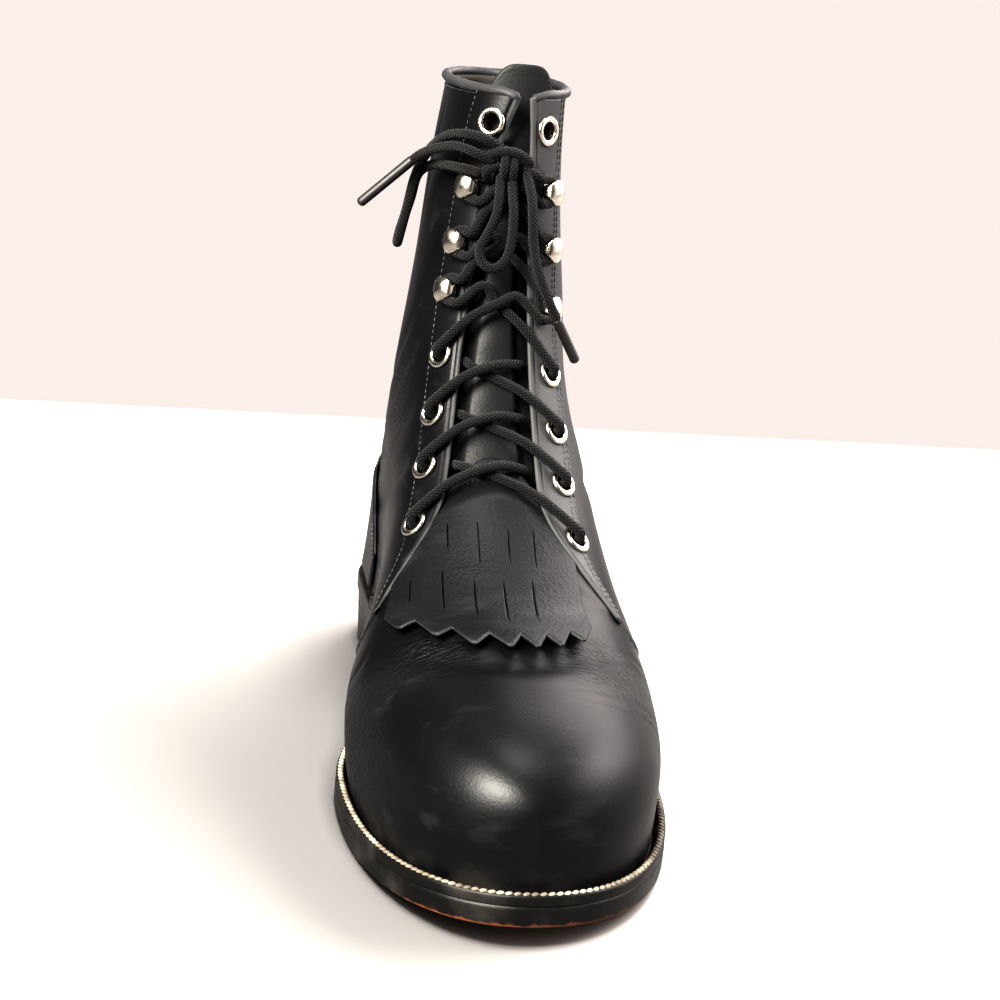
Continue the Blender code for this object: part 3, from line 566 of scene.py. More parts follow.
@dataclass
class Facing:
    """Throat of the boot: facing edges, facing layers and places of the lace holders."""

    last: Last
    overhang: float = 2.5
    width: float = 20.0
    lift: float = 0.5
    thick: float = 1.2
    throat_u: float = 3.72
    throat_round: float = 0.45
    taper_u: float = 1.2
    least: float = 0.8
    point_u: tuple[float, float] = (3.28, 3.05)
    stations: tuple[float, ...] = (2.9, 3.1, 3.35, 3.7, 4.05, 4.6, 6.0, 7.5, 9.0, 11.0, 12.0, 13.0)
    medial: tuple[float, ...] = (60.0, 52.5, 43.0, 30.5, 21.5, 17.0, 14.0, 10.5, 7.0, 3.2, 1.4, 0.9)
    lateral: tuple[float, ...] = (55.0, 46.0, 36.0, 25.5, 19.5, 17.0, 14.0, 10.5, 7.0, 3.2, 1.4, 0.9)
    lines: dict[Side, Spline] = field(init=False)

    def __post_init__(self) -> None:
        """Make the edge lines."""
        self.lines = {
            Side.MEDIAL: Spline(self.stations, self.medial),
            Side.LATERAL: Spline(self.stations, self.lateral),
        }

    @property
    def top(self) -> float:
        """Height of the facing's face over the upper."""
        return self.lift + self.thick

    def edge(self, u: Number, side: Side) -> Array:
        """Distance from the ridge to the facing's inner edge."""
        return np.maximum(self.lines[side].at(u), self.least)

    def beside(self, u: Array, sign: Array) -> Array:
        """Distance to the inner edge on the sides that signs name."""
        return np.where(sign < 0.0, self.edge(u, Side.MEDIAL), self.edge(u, Side.LATERAL))

    def wall(self, u: Array, side: Side) -> Array:
        """Distance from the ridge to the upper's own throat edge.

        Args:
            u: Sections.
            side: Side of the foot.

        Returns:
            A distance for each section.
        """
        opened = self.edge(u, side) + self.overhang
        t = np.clip((u - self.throat_u) / self.throat_round, 0.0, 1.0)
        return np.where(u <= self.throat_u, 0.0, opened * np.sqrt(1.0 - (1.0 - t) ** 2))

    def point(self, side: Side) -> float:
        """Section of the facing's lower corner."""
        return side.of(*self.point_u)

    def outer(self, u: Number, side: Side) -> Array:
        """Width of the facing at sections."""
        taper = np.sqrt(np.clip((np.asarray(u, float) - self.point(side) + 0.01) / self.taper_u, 0.0, 1.0))
        return mix(1.0, self.width, taper)

    def place(self, row: LaceRow, side: Side) -> tuple[Array, Array, Array, Array]:
        """Where a holder of the lace stands.

        Args:
            row: Row of the lacing.
            side: Side of the foot.

        Returns:
            Point on the upper, and the outward, upward and sideways directions there.
        """
        u = row.u(side)
        s = side.value * (float(self.edge(u, side)) + row.inset)
        normal = self.last.outward(u, s)
        up = self.last.upward(u, s, normal)
        away = np.cross(up, normal)
        return self.last.skin(u, s), normal, up, away if away[0] * s > 0.0 else -away


def grid_faces(rows: int, columns: int, closed: bool = False) -> list[Face]:
    """Quads between neighbouring points of a grid.

    Args:
        rows: Rows of points.
        columns: Points in a row.
        closed: True where each row runs round to its start.

    Returns:
        Faces as indices.
    """
    faces = []
    for i in range(rows - 1):
        for j in range(columns if closed else columns - 1):
            k = (j + 1) % columns
            faces.append((i * columns + j, i * columns + k, (i + 1) * columns + k, (i + 1) * columns + j))
    return faces


def tube_faces(rows: int, size: int, start: int = 0) -> list[Face]:
    """Faces of a tube through rings of points, with both ends closed.

    Args:
        rows: Number of rings.
        size: Points in a ring.
        start: Index of the first point.

    Returns:
        Faces as indices, the two ends last.
    """
    faces = grid_faces(rows, size, True)
    faces += [tuple(range(size))[::-1], tuple((rows - 1) * size + i for i in range(size))]
    return [tuple(start + i for i in face) for face in faces]


def closed_shell(outer: Array, inner: Array, faces: Sequence[Face]) -> tuple[Array, list[Face]]:
    """Join two like sheets into one closed wall.

    Args:
        outer: Points of the outer sheet.
        inner: Points of the inner sheet, in the same order.
        faces: Faces of the outer sheet.

    Returns:
        Points and faces of the wall, outer faces first, then inner ones, then the rim.
    """
    count = len(outer)
    walls = {}
    for face in faces:
        for a, b in zip(face, face[1:] + face[:1]):
            if (b, a) in walls:
                del walls[(b, a)]
            else:
                walls[(a, b)] = True
    back = [tuple(i + count for i in reversed(face)) for face in faces]
    rim = [(b, a, a + count, b + count) for a, b in walls]
    return np.concatenate([outer, inner]), list(faces) + back + rim


def show(name: str, data: ID) -> Object:
    """Put an object with its data in the scene.

    Args:
        name: Name of the object.
        data: Its mesh, light or camera.

    Returns:
        The object.
    """
    made = bpy.data.objects.new(name, data)
    bpy.context.scene.collection.objects.link(made)
    return made


def discard(made: Object) -> None:
    """Take a helper out of the scene."""
    bpy.data.objects.remove(made, do_unlink=True)


def make_piece(
    name: str,
    points: Array,
    faces: Sequence[Face],
    materials: Sequence[Material],
    paint: dict[str, Array] | None = None,
    weld: float = 0.0,
    sharp: float = 180.0,
) -> Object:
    """Write points and faces as a smooth mesh object.

    Args:
        name: Name of the piece.
        points: Points in millimetres.
        faces: Faces as indices.
        materials: Materials of the piece.
        paint: Values for each point, by attribute name.
        weld: Distance under which points are merged, in millimetres.
        sharp: Angle over which an edge stays sharp, in degrees.

    Returns:
        The object.
    """
    mesh = bpy.data.meshes.new(name)
    mesh.from_pydata((np.asarray(points) * MM).tolist(), [], [list(face) for face in faces])
    for word, values in (paint or {}).items():
        mesh.attributes.new(word, "FLOAT", "POINT").data.foreach_set("value", np.asarray(values, np.float32))
    for material in materials:
        mesh.materials.append(material)
    if weld:
        bm = bmesh.new()
        bm.from_mesh(mesh)
        bmesh.ops.remove_doubles(bm, verts=bm.verts, dist=weld * MM)
        bmesh.ops.recalc_face_normals(bm, faces=bm.faces)
        bm.to_mesh(mesh)
        bm.free()
    mesh.shade_smooth()
    if sharp < 180.0:
        mesh.set_sharp_from_angle(angle=math.radians(sharp))
    return show(name, mesh)


def hand_over(piece: Object, slot: str, *nodes: str) -> Object:
    """Let a piece stand for nodes of the frame and ride on the boot.

    Args:
        piece: The dressed piece.
        slot: Not used.
        nodes: Nodes that it stands for.

    Returns:
        The same piece.
    """
    if nodes:
        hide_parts(*nodes)
    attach(piece, BODY)
    LOG.info("%s: %d faces, stands for %s", piece.name, len(piece.data.polygons), nodes or "no node")
    return piece


def cut(piece: Object, cutter: Object) -> None:
    """Cut a piece by another object and keep the plain mesh.

    Args:
        piece: Piece that is cut.
        cutter: Closed object that is taken away.
    """
    change = piece.modifiers.new("cut", "BOOLEAN")
    change.operation = "DIFFERENCE"
    change.solver = "EXACT"
    change.object = cutter
    graph = bpy.context.evaluated_depsgraph_get()
    made = bpy.data.meshes.new_from_object(piece.evaluated_get(graph))
    piece.modifiers.clear()
    old = piece.data
    piece.data = made
    bpy.data.meshes.remove(old)
    made.name = piece.name


class NodeMaker:
    """Node tree under construction, with short ways to add to it."""

    def __init__(self, tree: NodeTree) -> None:
        """Start on a tree."""
        self.tree = tree

    def add(self, kind: str, inputs: dict | None = None, **settings: object) -> Node:
        """Add a node.

        Args:
            kind: Type of the node.
            inputs: Sockets to join or values to set, by input name or index.
            settings: Properties of the node.

        Returns:
            The node.
        """
        node = self.tree.nodes.new(kind)
        for word, value in settings.items():
            setattr(node, word, value)
        for word, value in (inputs or {}).items():
            self.set(node.inputs[word], value)
        return node

    def set(self, socket: NodeSocket, value: object) -> None:
        """Join or set one input.

        Args:
            socket: Input of a node.
            value: Output to join, value to set, or None to leave it.
        """
        if isinstance(value, NodeSocket):
            self.tree.links.new(value, socket)
        elif value is not None:
            socket.default_value = value

    def sum(self, operation: str, a: NodeSocket | float, b: NodeSocket | float) -> NodeSocket:
        """Result of a math node."""
        return self.add("ShaderNodeMath", {0: a, 1: b}, operation=operation).outputs[0]


class Graph(NodeMaker):
    """Node tree of one material."""

    def __init__(self, name: str) -> None:
        """Start a material.

        Args:
            name: Name of the material.
        """
        self.material = bpy.data.materials.new(name)
        self.material.use_nodes = True
        super().__init__(self.material.node_tree)
        self.shader = self.tree.nodes["Principled BSDF"]
        self.place = self.add("ShaderNodeTexCoord").outputs["Object"]

    def noise(self, scale: float, detail: float, stretch: Point = (1.0, 1.0, 1.0)) -> NodeSocket:
        """Noise on the piece's own coordinates, with a scale for each direction."""
        place = self.add("ShaderNodeMapping", {"Vector": self.place, "Scale": stretch}).outputs[0]
        return self.add("ShaderNodeTexNoise", {"Vector": place, "Scale": scale, "Detail": detail}).outputs[0]

    def span(self, value: NodeSocket, low: float, high: float, to_low: float = 0.0,
             to_high: float = 1.0) -> NodeSocket:
        """Value brought from one span to another and held there."""
        inputs = {0: value, 1: low, 2: high, 3: to_low, 4: to_high}
        return self.add("ShaderNodeMapRange", inputs, clamp=True).outputs[0]

    def blend(self, factor: NodeSocket, a: NodeSocket | Colour, b: NodeSocket | Colour) -> NodeSocket:
        """Mix of two colours, with the share of the second one."""
        return self.add("ShaderNodeMix", {0: factor, 6: a, 7: b}, data_type="RGBA").outputs[2]

    def painted(self, word: str) -> NodeSocket:
        """Values of a point attribute."""
        return self.add("ShaderNodeAttribute", attribute_name=word).outputs["Fac"]

    def bump(self, height: NodeSocket, strength: float, distance: float,
             normal: NodeSocket | None = None) -> NodeSocket:
        """Bumped normal, on top of another one where given."""
        inputs = {"Height": height, "Strength": strength, "Distance": distance, "Normal": normal}
        return self.add("ShaderNodeBump", inputs).outputs[0]

    def finish(self, **sockets: object) -> Material:
        """Set inputs of the shader, with spaces for underscores, and give the material.

        Args:
            sockets: Values or outputs, by input name.

        Returns:
            The material.
        """
        for word, value in sockets.items():
            self.set(self.shader.inputs[word.replace("_", " ")], value)
        return self.material


@dataclass(frozen=True)
class LeatherFinish:
    """Black dressed leather with grain, fine creases, scuffs, worn edges and a painted sheen where a point
    attribute asks for it.
    """

    name: str
    colour: Colour = (0.003, 0.003, 0.0036, 1.0)
    # Colour of worn leather, also used for the painted sheen that stands in for light on the outer side.
    worn: Colour = (0.06, 0.06, 0.062, 1.0)
    dust: Colour = (0.026, 0.0235, 0.020, 1.0)
    rough: float = 0.40
    grain: float = 1.0
    grain_depth: float = 0.08
    scuff: float = 0.5
    refraction: float = 1.3

    def build(self) -> Material:
        """Make the material.

        Returns:
            The material.
        """
        g = Graph(self.name)
        patch = g.noise(22.0, 3.0)
        colour = g.blend(g.span(patch, 0.3, 0.7), self.colour, shade(self.colour, 1.7))
        streak = g.noise(55.0, 5.0, (0.5, 1.5, 2.2))
        scuffs = g.sum("MULTIPLY", g.span(streak, 0.58, 0.74), self.scuff)
        colour = g.blend(g.sum("MULTIPLY", scuffs, 0.30), colour, self.worn)
        wear = g.sum("MULTIPLY", g.painted("wear"), g.span(g.noise(160.0, 3.0), 0.25, 0.6, 0.35, 1.0))
        colour = g.blend(wear, colour, self.worn)
        # Painted sheen: the leather is lightened towards the worn colour where the point attribute asks,
        # standing in for light falling on the outer side.
        fade = g.sum("MULTIPLY", g.painted("fade"), g.span(patch, 0.25, 0.75, 0.8, 1.0))
        colour = g.blend(fade, colour, self.worn)
        dirt = g.sum("MULTIPLY", g.painted("dirt"), g.span(g.noise(90.0, 4.0), 0.35, 0.65))
        colour = g.blend(dirt, colour, self.dust)
        rough = g.span(patch, 0.25, 0.75, self.rough - 0.05, self.rough + 0.07)
        for share, amount in ((scuffs, 0.14), (wear, 0.25), (fade, 0.12), (dirt, 0.3)):
            rough = g.sum("ADD", rough, g.sum("MULTIPLY", share, amount))
        cells = g.add("ShaderNodeTexVoronoi", {"Vector": g.place, "Scale": 1000.0 / self.grain}).outputs[0]
        pebble = g.sum("ADD", g.sum("MULTIPLY", cells, 0.7), g.noise(700.0 / self.grain, 4.0))
        normal = g.bump(pebble, self.grain_depth, 0.0004)
        lines = g.noise(1.0, 5.0, (70.0, 620.0, 620.0))
        fold = g.sum("MULTIPLY", g.span(lines, 0.4, 0.62), g.painted("flex"))
        normal = g.bump(fold, 0.55, 0.0007, normal)
        return g.finish(Base_Color=colour, Roughness=rough, Normal=normal, IOR=self.refraction)


@dataclass(frozen=True)
class SoleFinish:
    """Black edge dressing on the sole, worn through to brown where it meets the floor."""

    name: str
    colour: Colour = (0.0055, 0.0052, 0.005, 1.0)
    bare: Colour = (0.13, 0.052, 0.024, 1.0)
    grey: Colour = (0.05, 0.046, 0.042, 1.0)
    rough: float = 0.42

    def build(self) -> Material:
        """Make the material.

        Returns:
            The material.
        """
        g = Graph(self.name)
        patch = g.noise(60.0, 4.0)
        colour = g.blend(g.span(patch, 0.45, 0.75, 0.0, 0.5), self.colour, self.grey)
        ragged = g.sum("ADD", g.painted("wear"), g.span(g.noise(240.0, 5.0), 0.2, 0.8, -0.35, 0.35))
        bare = g.span(ragged, 0.35, 0.75)
        colour = g.blend(bare, colour, self.bare)
        dirt = g.sum("MULTIPLY", g.painted("dirt"), g.span(g.noise(120.0, 4.0), 0.4, 0.7))
        colour = g.blend(g.sum("MULTIPLY", dirt, 0.6), colour, (0.13, 0.115, 0.095, 1.0))
        rough = g.span(patch, 0.3, 0.7, self.rough - 0.06, self.rough + 0.12)
        rough = g.sum("ADD", rough, g.sum("MULTIPLY", bare, 0.25))
        scratches = g.noise(1.0, 4.0, (180.0, 180.0, 900.0))
        normal = g.bump(g.sum("ADD", g.noise(500.0, 3.0), scratches), 0.22, 0.0004)
        return g.finish(Base_Color=colour, Roughness=rough, Normal=normal, IOR=1.33)


@dataclass(frozen=True)
class MetalFinish:
    """Bright nickel plate, slightly warm, with fine scratches."""

    name: str
    colour: Colour = (0.50, 0.475, 0.43, 1.0)
    dull: Colour = (0.28, 0.25, 0.21, 1.0)

    def build(self) -> Material:
        """Make the material.

        Returns:
            The material.
        """
        g = Graph(self.name)
        patch = g.span(g.noise(420.0, 4.0), 0.45, 0.75)
        colour = g.blend(g.sum("MULTIPLY", patch, 0.45), self.colour, self.dull)
        rough = g.span(patch, 0.0, 1.0, 0.22, 0.40)
        normal = g.bump(g.noise(1400.0, 3.0), 0.06, 0.0002)
        return g.finish(Base_Color=colour, Roughness=rough, Normal=normal, Metallic=1.0)


@dataclass(frozen=True)
class ThreadFinish:
    """Twisted sewing thread, soiled in patches."""

    name: str
    colour: Colour
    soiled: Colour
    rough: float = 0.7

    def build(self) -> Material:
        """Make the material.

        Returns:
            The material.
        """
        g = Graph(self.name)
        colour = g.blend(g.span(g.noise(110.0, 4.0), 0.38, 0.68), self.colour, self.soiled)
        normal = g.bump(g.noise(1.0, 2.0, (2600.0, 2600.0, 2600.0)), 0.4, 0.0003)
        return g.finish(Base_Color=colour, Roughness=self.rough, Normal=normal)


@dataclass(frozen=True)
class LaceFinish:
    """Round black braid: diamonds of the braid follow the lace by its UV map, with a painted highlight on
    their crests.
    """

    name: str
    colour: Colour = (0.003, 0.003, 0.0032, 1.0)
    # Colour of the painted highlight on the braid's crests.
    light: Colour = (0.015, 0.015, 0.016, 1.0)

    def build(self) -> Material:
        """Make the material.

        Returns:
            The material.
        """
        g = Graph(self.name)
        chart = g.add("ShaderNodeUVMap", uv_map="UVMap").outputs[0]
        parts = g.add("ShaderNodeSeparateXYZ", {0: chart})
        waves = []
        for operation in ("ADD", "SUBTRACT"):
            turn = g.sum("MULTIPLY", g.sum(operation, parts.outputs[0], parts.outputs[1]), math.pi)
            waves.append(g.sum("ABSOLUTE", g.sum("SINE", turn, 0.0), 0.0))
        braid = g.sum("MULTIPLY", *waves)
        # Painted highlight: the braid's crests are made lighter than its hollows.
        colour = g.blend(braid, self.colour, self.light)
        fuzz = g.noise(1.0, 3.0, (2200.0, 2200.0, 2200.0))
        normal = g.bump(braid, 0.9, 0.0005, g.bump(fuzz, 0.35, 0.0003))
        return g.finish(
            Base_Color=colour, Roughness=0.78, Normal=normal, Sheen_Weight=0.06, Sheen_Roughness=0.45,
            IOR=1.3,
        )


@dataclass(frozen=True)
class PlainFinish:
    """Even surface with a faint mottle."""

    name: str
    colour: Colour
    rough: float
    mottle: float = 0.1
    scale: float = 300.0

    def build(self) -> Material:
        """Make the material.

        Returns:
            The material.
        """
        g = Graph(self.name)
        patch = g.noise(self.scale, 4.0)
        colour = g.blend(g.span(patch, 0.3, 0.7), shade(self.colour, 1.0 - self.mottle), self.colour)
        rough = g.span(patch, 0.3, 0.7, self.rough - 0.04, self.rough + 0.04)
        return g.finish(Base_Color=colour, Roughness=rough, Normal=g.bump(patch, 0.1, 0.0003))


class Palette:
    """Finishes of the boot, each made once."""

    def __init__(self) -> None:
        """Make the materials."""
        black = (0.010, 0.010, 0.011, 1.0)
        self.upper = LeatherFinish("leather_upper").build()
        self.facing = LeatherFinish("leather_facing", rough=0.41, grain=0.8, grain_depth=0.10).build()
        self.kiltie = LeatherFinish(
            "leather_kiltie", colour=(0.0048, 0.005, 0.0058, 1.0), rough=0.44, grain=1.2, grain_depth=0.3,
        ).build()
        self.tongue = LeatherFinish(
            "leather_tongue", colour=(0.010, 0.010, 0.0105, 1.0), rough=0.5, grain=0.9, grain_depth=0.2,
            scuff=0.2,
        ).build()
        self.binding = LeatherFinish(
            "leather_binding", colour=(0.022, 0.022, 0.0235, 1.0), worn=(0.06, 0.06, 0.06, 1.0), rough=0.5,
            scuff=0.9,
        ).build()
        self.lining = LeatherFinish(
            "leather_lining", colour=(0.018, 0.016, 0.015, 1.0), rough=0.62, scuff=0.3,
        ).build()
        self.insole = LeatherFinish(
            "leather_insole", colour=(0.05, 0.034, 0.022, 1.0), rough=0.66, scuff=0.8,
        ).build()
        self.sole = SoleFinish("sole_edge").build()
        self.welt = SoleFinish("welt_edge", bare=(0.045, 0.04, 0.034, 1.0), rough=0.46).build()
        self.nickel = MetalFinish("nickel_plate").build()
        self.welt_thread = ThreadFinish(
            "thread_cream", (0.19, 0.172, 0.14, 1.0), (0.06, 0.051, 0.04, 1.0)).build()
        self.thread = ThreadFinish("thread_black", (0.055, 0.055, 0.058, 1.0), black, 0.5).build()
        self.lace = LaceFinish("lace_braid").build()
        self.aglet = PlainFinish("aglet_plastic", (0.014, 0.0125, 0.012, 1.0), 0.5).build()


class TreeMaker(NodeMaker):
    """Geometry Nodes tree that runs on points."""

    def __init__(self, name: str, sockets: Sequence[tuple[str, str]]) -> None:
        """Start a tree with named inputs.

        Args:
            name: Name of the tree.
            sockets: Name and type of each input after the geometry.
        """
        super().__init__(bpy.data.node_groups.new(name, "GeometryNodeTree"))
        face = self.tree.interface
        face.new_socket("Geometry", in_out="INPUT", socket_type="NodeSocketGeometry")
        self.keys = {}
        for word, kind in sockets:
            self.keys[word] = face.new_socket(word, in_out="INPUT", socket_type=kind).identifier
        face.new_socket("Geometry", in_out="OUTPUT", socket_type="NodeSocketGeometry")
        self.start = self.tree.nodes.new("NodeGroupInput")

    def vector(self, word: str) -> NodeSocket:
        """Vector attribute of the points."""
        node = self.add("GeometryNodeInputNamedAttribute", {"Name": word}, data_type="FLOAT_VECTOR")
        return node.outputs[0]

    def close(self, instances: NodeSocket) -> None:
        """Realize the instances, shade them smooth and give them the material.

        Args:
            instances: Stitches or holders on their places.
        """
        real = self.add("GeometryNodeRealizeInstances", {"Geometry": instances})
        smooth = self.add("GeometryNodeSetShadeSmooth", {"Geometry": real.outputs[0]})
        inputs = {"Geometry": smooth.outputs[0], "Material": self.start.outputs["Material"]}
        dressed = self.add("GeometryNodeSetMaterial", inputs)
        end = self.tree.nodes.new("NodeGroupOutput")
        self.tree.links.new(dressed.outputs[0], end.inputs[0])

    def run(
        self, name: str, points: Array, edges: Sequence, vectors: dict[str, Array], values: dict,
    ) -> Object:
        """Run the tree on points and keep the plain mesh.

        Args:
            name: Name of the piece.
            points: Points in millimetres.
            edges: Edges between them.
            vectors: Vector for each point, by attribute name.
            values: Values of the tree's inputs.

        Returns:
            The piece.
        """
        seed = bpy.data.meshes.new(name + "_line")
        seed.from_pydata((np.asarray(points) * MM).tolist(), edges, [])
        for word, rows in vectors.items():
            layer = seed.attributes.new(word, "FLOAT_VECTOR", "POINT")
            layer.data.foreach_set("vector", np.asarray(rows, np.float32).ravel())
        carrier = show(name + "_line", seed)
        change = carrier.modifiers.new("nodes", "NODES")
        change.node_group = self.tree
        for word, value in values.items():
            change[self.keys[word]] = value
        graph = bpy.context.evaluated_depsgraph_get()
        mesh = bpy.data.meshes.new_from_object(carrier.evaluated_get(graph))
        mesh.name = name
        discard(carrier)
        bpy.data.meshes.remove(seed)
        return show(name, mesh)


def stitch_tree() -> TreeMaker:
    """Tree that lays stitches along a line, flat on the face that the line's points name.

    Returns:
        The tree.
    """
    t = TreeMaker("stitch_row", (
        ("Spacing", "NodeSocketFloat"), ("Size", "NodeSocketVector"), ("Slant", "NodeSocketFloat"),
        ("Material", "NodeSocketMaterial"),
    ))
    start = t.start.outputs
    line = t.add("GeometryNodeMeshToCurve", {"Mesh": start["Geometry"]})
    spacing = {"Curve": line.outputs[0], "Length": start["Spacing"]}
    even = t.add("GeometryNodeResampleCurve", spacing, mode="LENGTH")
    ball = t.add("GeometryNodeMeshUVSphere", {"Segments": 8, "Rings": 5, "Radius": 0.5})
    turn = t.add("ShaderNodeCombineXYZ", {"Z": start["Slant"]})
    tilt = t.add("FunctionNodeEulerToRotation", {"Euler": turn.outputs[0]})
    long = t.add("GeometryNodeTransform", {"Geometry": ball.outputs[0], "Scale": start["Size"]})
    stitch = t.add("GeometryNodeTransform", {"Geometry": long.outputs[0], "Rotation": tilt.outputs[0]})
    tangent = t.add("GeometryNodeInputTangent")
    axes = t.add(
        "FunctionNodeAxesToRotation",
        {"Primary Axis": t.vector("out"), "Secondary Axis": tangent.outputs[0]},
        primary_axis="Z", secondary_axis="X",
    )
    laid = t.add("GeometryNodeInstanceOnPoints", {
        "Points": even.outputs[0], "Instance": stitch.outputs[0], "Rotation": axes.outputs[0],
    })
    t.close(laid.outputs[0])
    return t


def place_tree() -> TreeMaker:
    """Tree that stands one form on each point, turned by the point's own directions.

    Returns:
        The tree.
    """
    t = TreeMaker("set_on_places", (("Form", "NodeSocketObject"), ("Material", "NodeSocketMaterial")))
    form = t.add("GeometryNodeObjectInfo", {"Object": t.start.outputs["Form"]})
    axes = t.add(
        "FunctionNodeAxesToRotation",
        {"Primary Axis": t.vector("out"), "Secondary Axis": t.vector("up")},
        primary_axis="Z", secondary_axis="Y",
    )
    laid = t.add("GeometryNodeInstanceOnPoints", {
        "Points": t.start.outputs["Geometry"], "Instance": form.outputs["Geometry"],
        "Rotation": axes.outputs[0],
    })
    t.close(laid.outputs[0])
    return t


@dataclass(frozen=True)
class StitchSize:
    """Spacing and size of one kind of stitch."""

    spacing: float
    length: float
    width: float
    height: float
    slant: float = 0.0


@dataclass
class Sewing:
    """Stitch rows of the boot."""

    last: Last
    palette: Palette
    tree: TreeMaker = field(default_factory=stitch_tree)
    fine: StitchSize = StitchSize(2.3, 1.8, 0.5, 0.4)
    welt: StitchSize = StitchSize(2.6, 3.0, 2.0, 1.4, 0.5)
    stitch_lift: float = 0.1

    def row(self, name: str, points: Array, out: Array, size: StitchSize, thread: Material) -> Object:
        """Lay one row of stitches.

        Args:
            name: Name of the piece.
            points: Points of the row in millimetres.
            out: Outward direction at each point.
            size: Size of the stitches.
            thread: Material of the thread.

        Returns:
            The piece.
        """
        edges = [(i, i + 1) for i in range(len(points) - 1)]
        values = {
            "Spacing": size.spacing * MM,
            "Size": (size.length * MM, size.width * MM, size.height * MM),
            "Slant": size.slant,
            "Material": thread,
        }
        return self.tree.run(name, points, edges, {"out": out}, values)

    def on_last(self, name: str, u: Array, s: Array, face: float) -> None:
        """Lay a fine row over the upper and hand it over.

        Args:
            name: Name of the piece.
            u: Sections of the row.
            s: Signed distances from the ridge.
            face: Height of the sewn face over the upper.
        """
        points = self.last.raised(u, s, face + self.stitch_lift)
        piece = self.row(name, points, self.last.outward(u, s), self.fine, self.palette.thread)
        hand_over(piece, "leather")


@dataclass(frozen=True)
class Crease:
    """Soft trough with low ridges beside it.

    The line is a curve through three places, each a section and a signed share of the girth.
    """

    start: tuple[float, float]
    bend: tuple[float, float]
    stop: tuple[float, float]
    width: float
    depth: float

    def line(self, last: Last) -> Array:
        """Points of the crease on the upper.

        Args:
            last: The last.

        Returns:
            Points in millimetres.
        """
        t = np.linspace(0.0, 1.0, 60)[:, None]
        a, b, c = (np.array(p) for p in (self.start, self.bend, self.stop))
        middle = 2.0 * b - 0.5 * (a + c)
        place = a * (1.0 - t) ** 2 + 2.0 * middle * t * (1.0 - t) + c * t * t
        u, share = place[:, 0], place[:, 1]
        return last.skin(u, share * last.reach(u, share))

    def relief(self, points: Array, last: Last) -> Array:
        """Height change that the crease brings at points.

        Args:
            points: Points of the upper.
            last: The last.

        Returns:
            Height for each point, below zero in the trough.
        """
        line = self.line(last)
        low = line.min(axis=0) - 3.0 * self.width
        high = line.max(axis=0) + 3.0 * self.width
        near = np.nonzero(np.all((points > low) & (points < high), axis=1))[0]
        out = np.zeros(len(points))
        if len(near):
            away = np.linalg.norm(points[near][:, None, :] - line[None, :, :], axis=2)
            best = away.argmin(axis=1)
            x = away[np.arange(len(near)), best] / self.width
            fade = np.sin(math.pi * np.clip(best / (len(line) - 1), 0.02, 0.98)) ** 0.6
            out[near] = -self.depth * fade * (1.0 - 0.9 * x * x) * np.exp(-x * x)
        return out


CREASES = tuple(Crease(*row) for row in (
    ((2.5, -0.56), (1.44, -0.03), (2.45, 0.48), 8.5, 1.7),
    ((2.05, -0.64), (1.6, -0.38), (1.2, -0.19), 2.4, 0.42),
    ((2.2, -0.66), (1.74, -0.42), (1.36, -0.24), 2.2, 0.38),
    ((1.86, -0.6), (1.46, -0.36), (1.1, -0.2), 2.2, 0.34),
    ((2.4, -0.7), (1.98, -0.48), (1.7, -0.34), 2.4, 0.4),
    ((1.16, 0.16), (1.32, 0.4), (1.66, 0.68), 2.4, 0.46),
    ((1.04, 0.2), (1.18, 0.42), (1.5, 0.7), 2.2, 0.36),
    ((1.8, 0.28), (2.04, 0.44), (2.2, 0.66), 2.4, 0.42),
    ((1.94, 0.34), (2.2, 0.5), (2.36, 0.7), 2.2, 0.36),
    ((2.4, 0.46), (2.56, 0.58), (2.76, 0.76), 2.4, 0.36),
    ((2.6, -0.52), (2.6, -0.62), (2.86, -0.78), 2.4, 0.36),
    ((3.3, -0.9), (2.96, -0.76), (3.02, -0.64), 3.0, 0.5),
    ((3.3, 0.9), (2.96, 0.76), (3.0, 0.66), 3.0, 0.5),
    ((0.52, -0.42), (0.62, -0.34), (0.62, -0.24), 1.6, 0.16),
    ((0.3, 0.02), (0.34, 0.14), (0.42, 0.26), 1.6, 0.14),
    ((5.9, -0.36), (6.3, -0.55), (7.1, -0.78), 6.0, 1.3),
    ((6.5, -0.34), (6.9, -0.52), (7.7, -0.72), 5.0, 1.1),
    ((7.3, -0.3), (7.6, -0.5), (8.4, -0.74), 4.5, 0.9),
    ((8.0, -0.28), (8.3, -0.46), (8.9, -0.66), 3.6, 0.6),
    ((5.7, 0.38), (6.2, 0.56), (7.1, 0.78), 6.0, 1.3),
    ((6.4, 0.36), (6.9, 0.54), (7.8, 0.74), 5.0, 1.1),
    ((7.2, 0.34), (7.6, 0.52), (8.4, 0.76), 4.5, 0.9),
    ((8.1, 0.36), (8.5, 0.56), (9.2, 0.8), 3.6, 0.6),
    ((9.3, -0.98), (9.1, -0.8), (9.0, -0.62), 5.0, 0.8),
    ((9.4, 0.98), (9.2, 0.8), (9.1, 0.62), 5.0, 0.8),
    ((9.75, -0.96), (9.6, -0.8), (9.65, -0.66), 4.0, 0.5),
    ((9.8, 0.96), (9.65, 0.82), (9.7, 0.68), 4.0, 0.5),
    ((10.0, -0.5), (10.9, -0.47), (11.8, -0.46), 2.6, 0.55),
    ((9.7, -0.58), (10.7, -0.55), (11.8, -0.55), 2.8, 0.6),
    ((10.2, -0.66), (11.0, -0.63), (11.8, -0.64), 2.6, 0.5),
    ((10.3, 0.72), (11.0, 0.7), (11.8, 0.71), 3.0, 0.4),
))


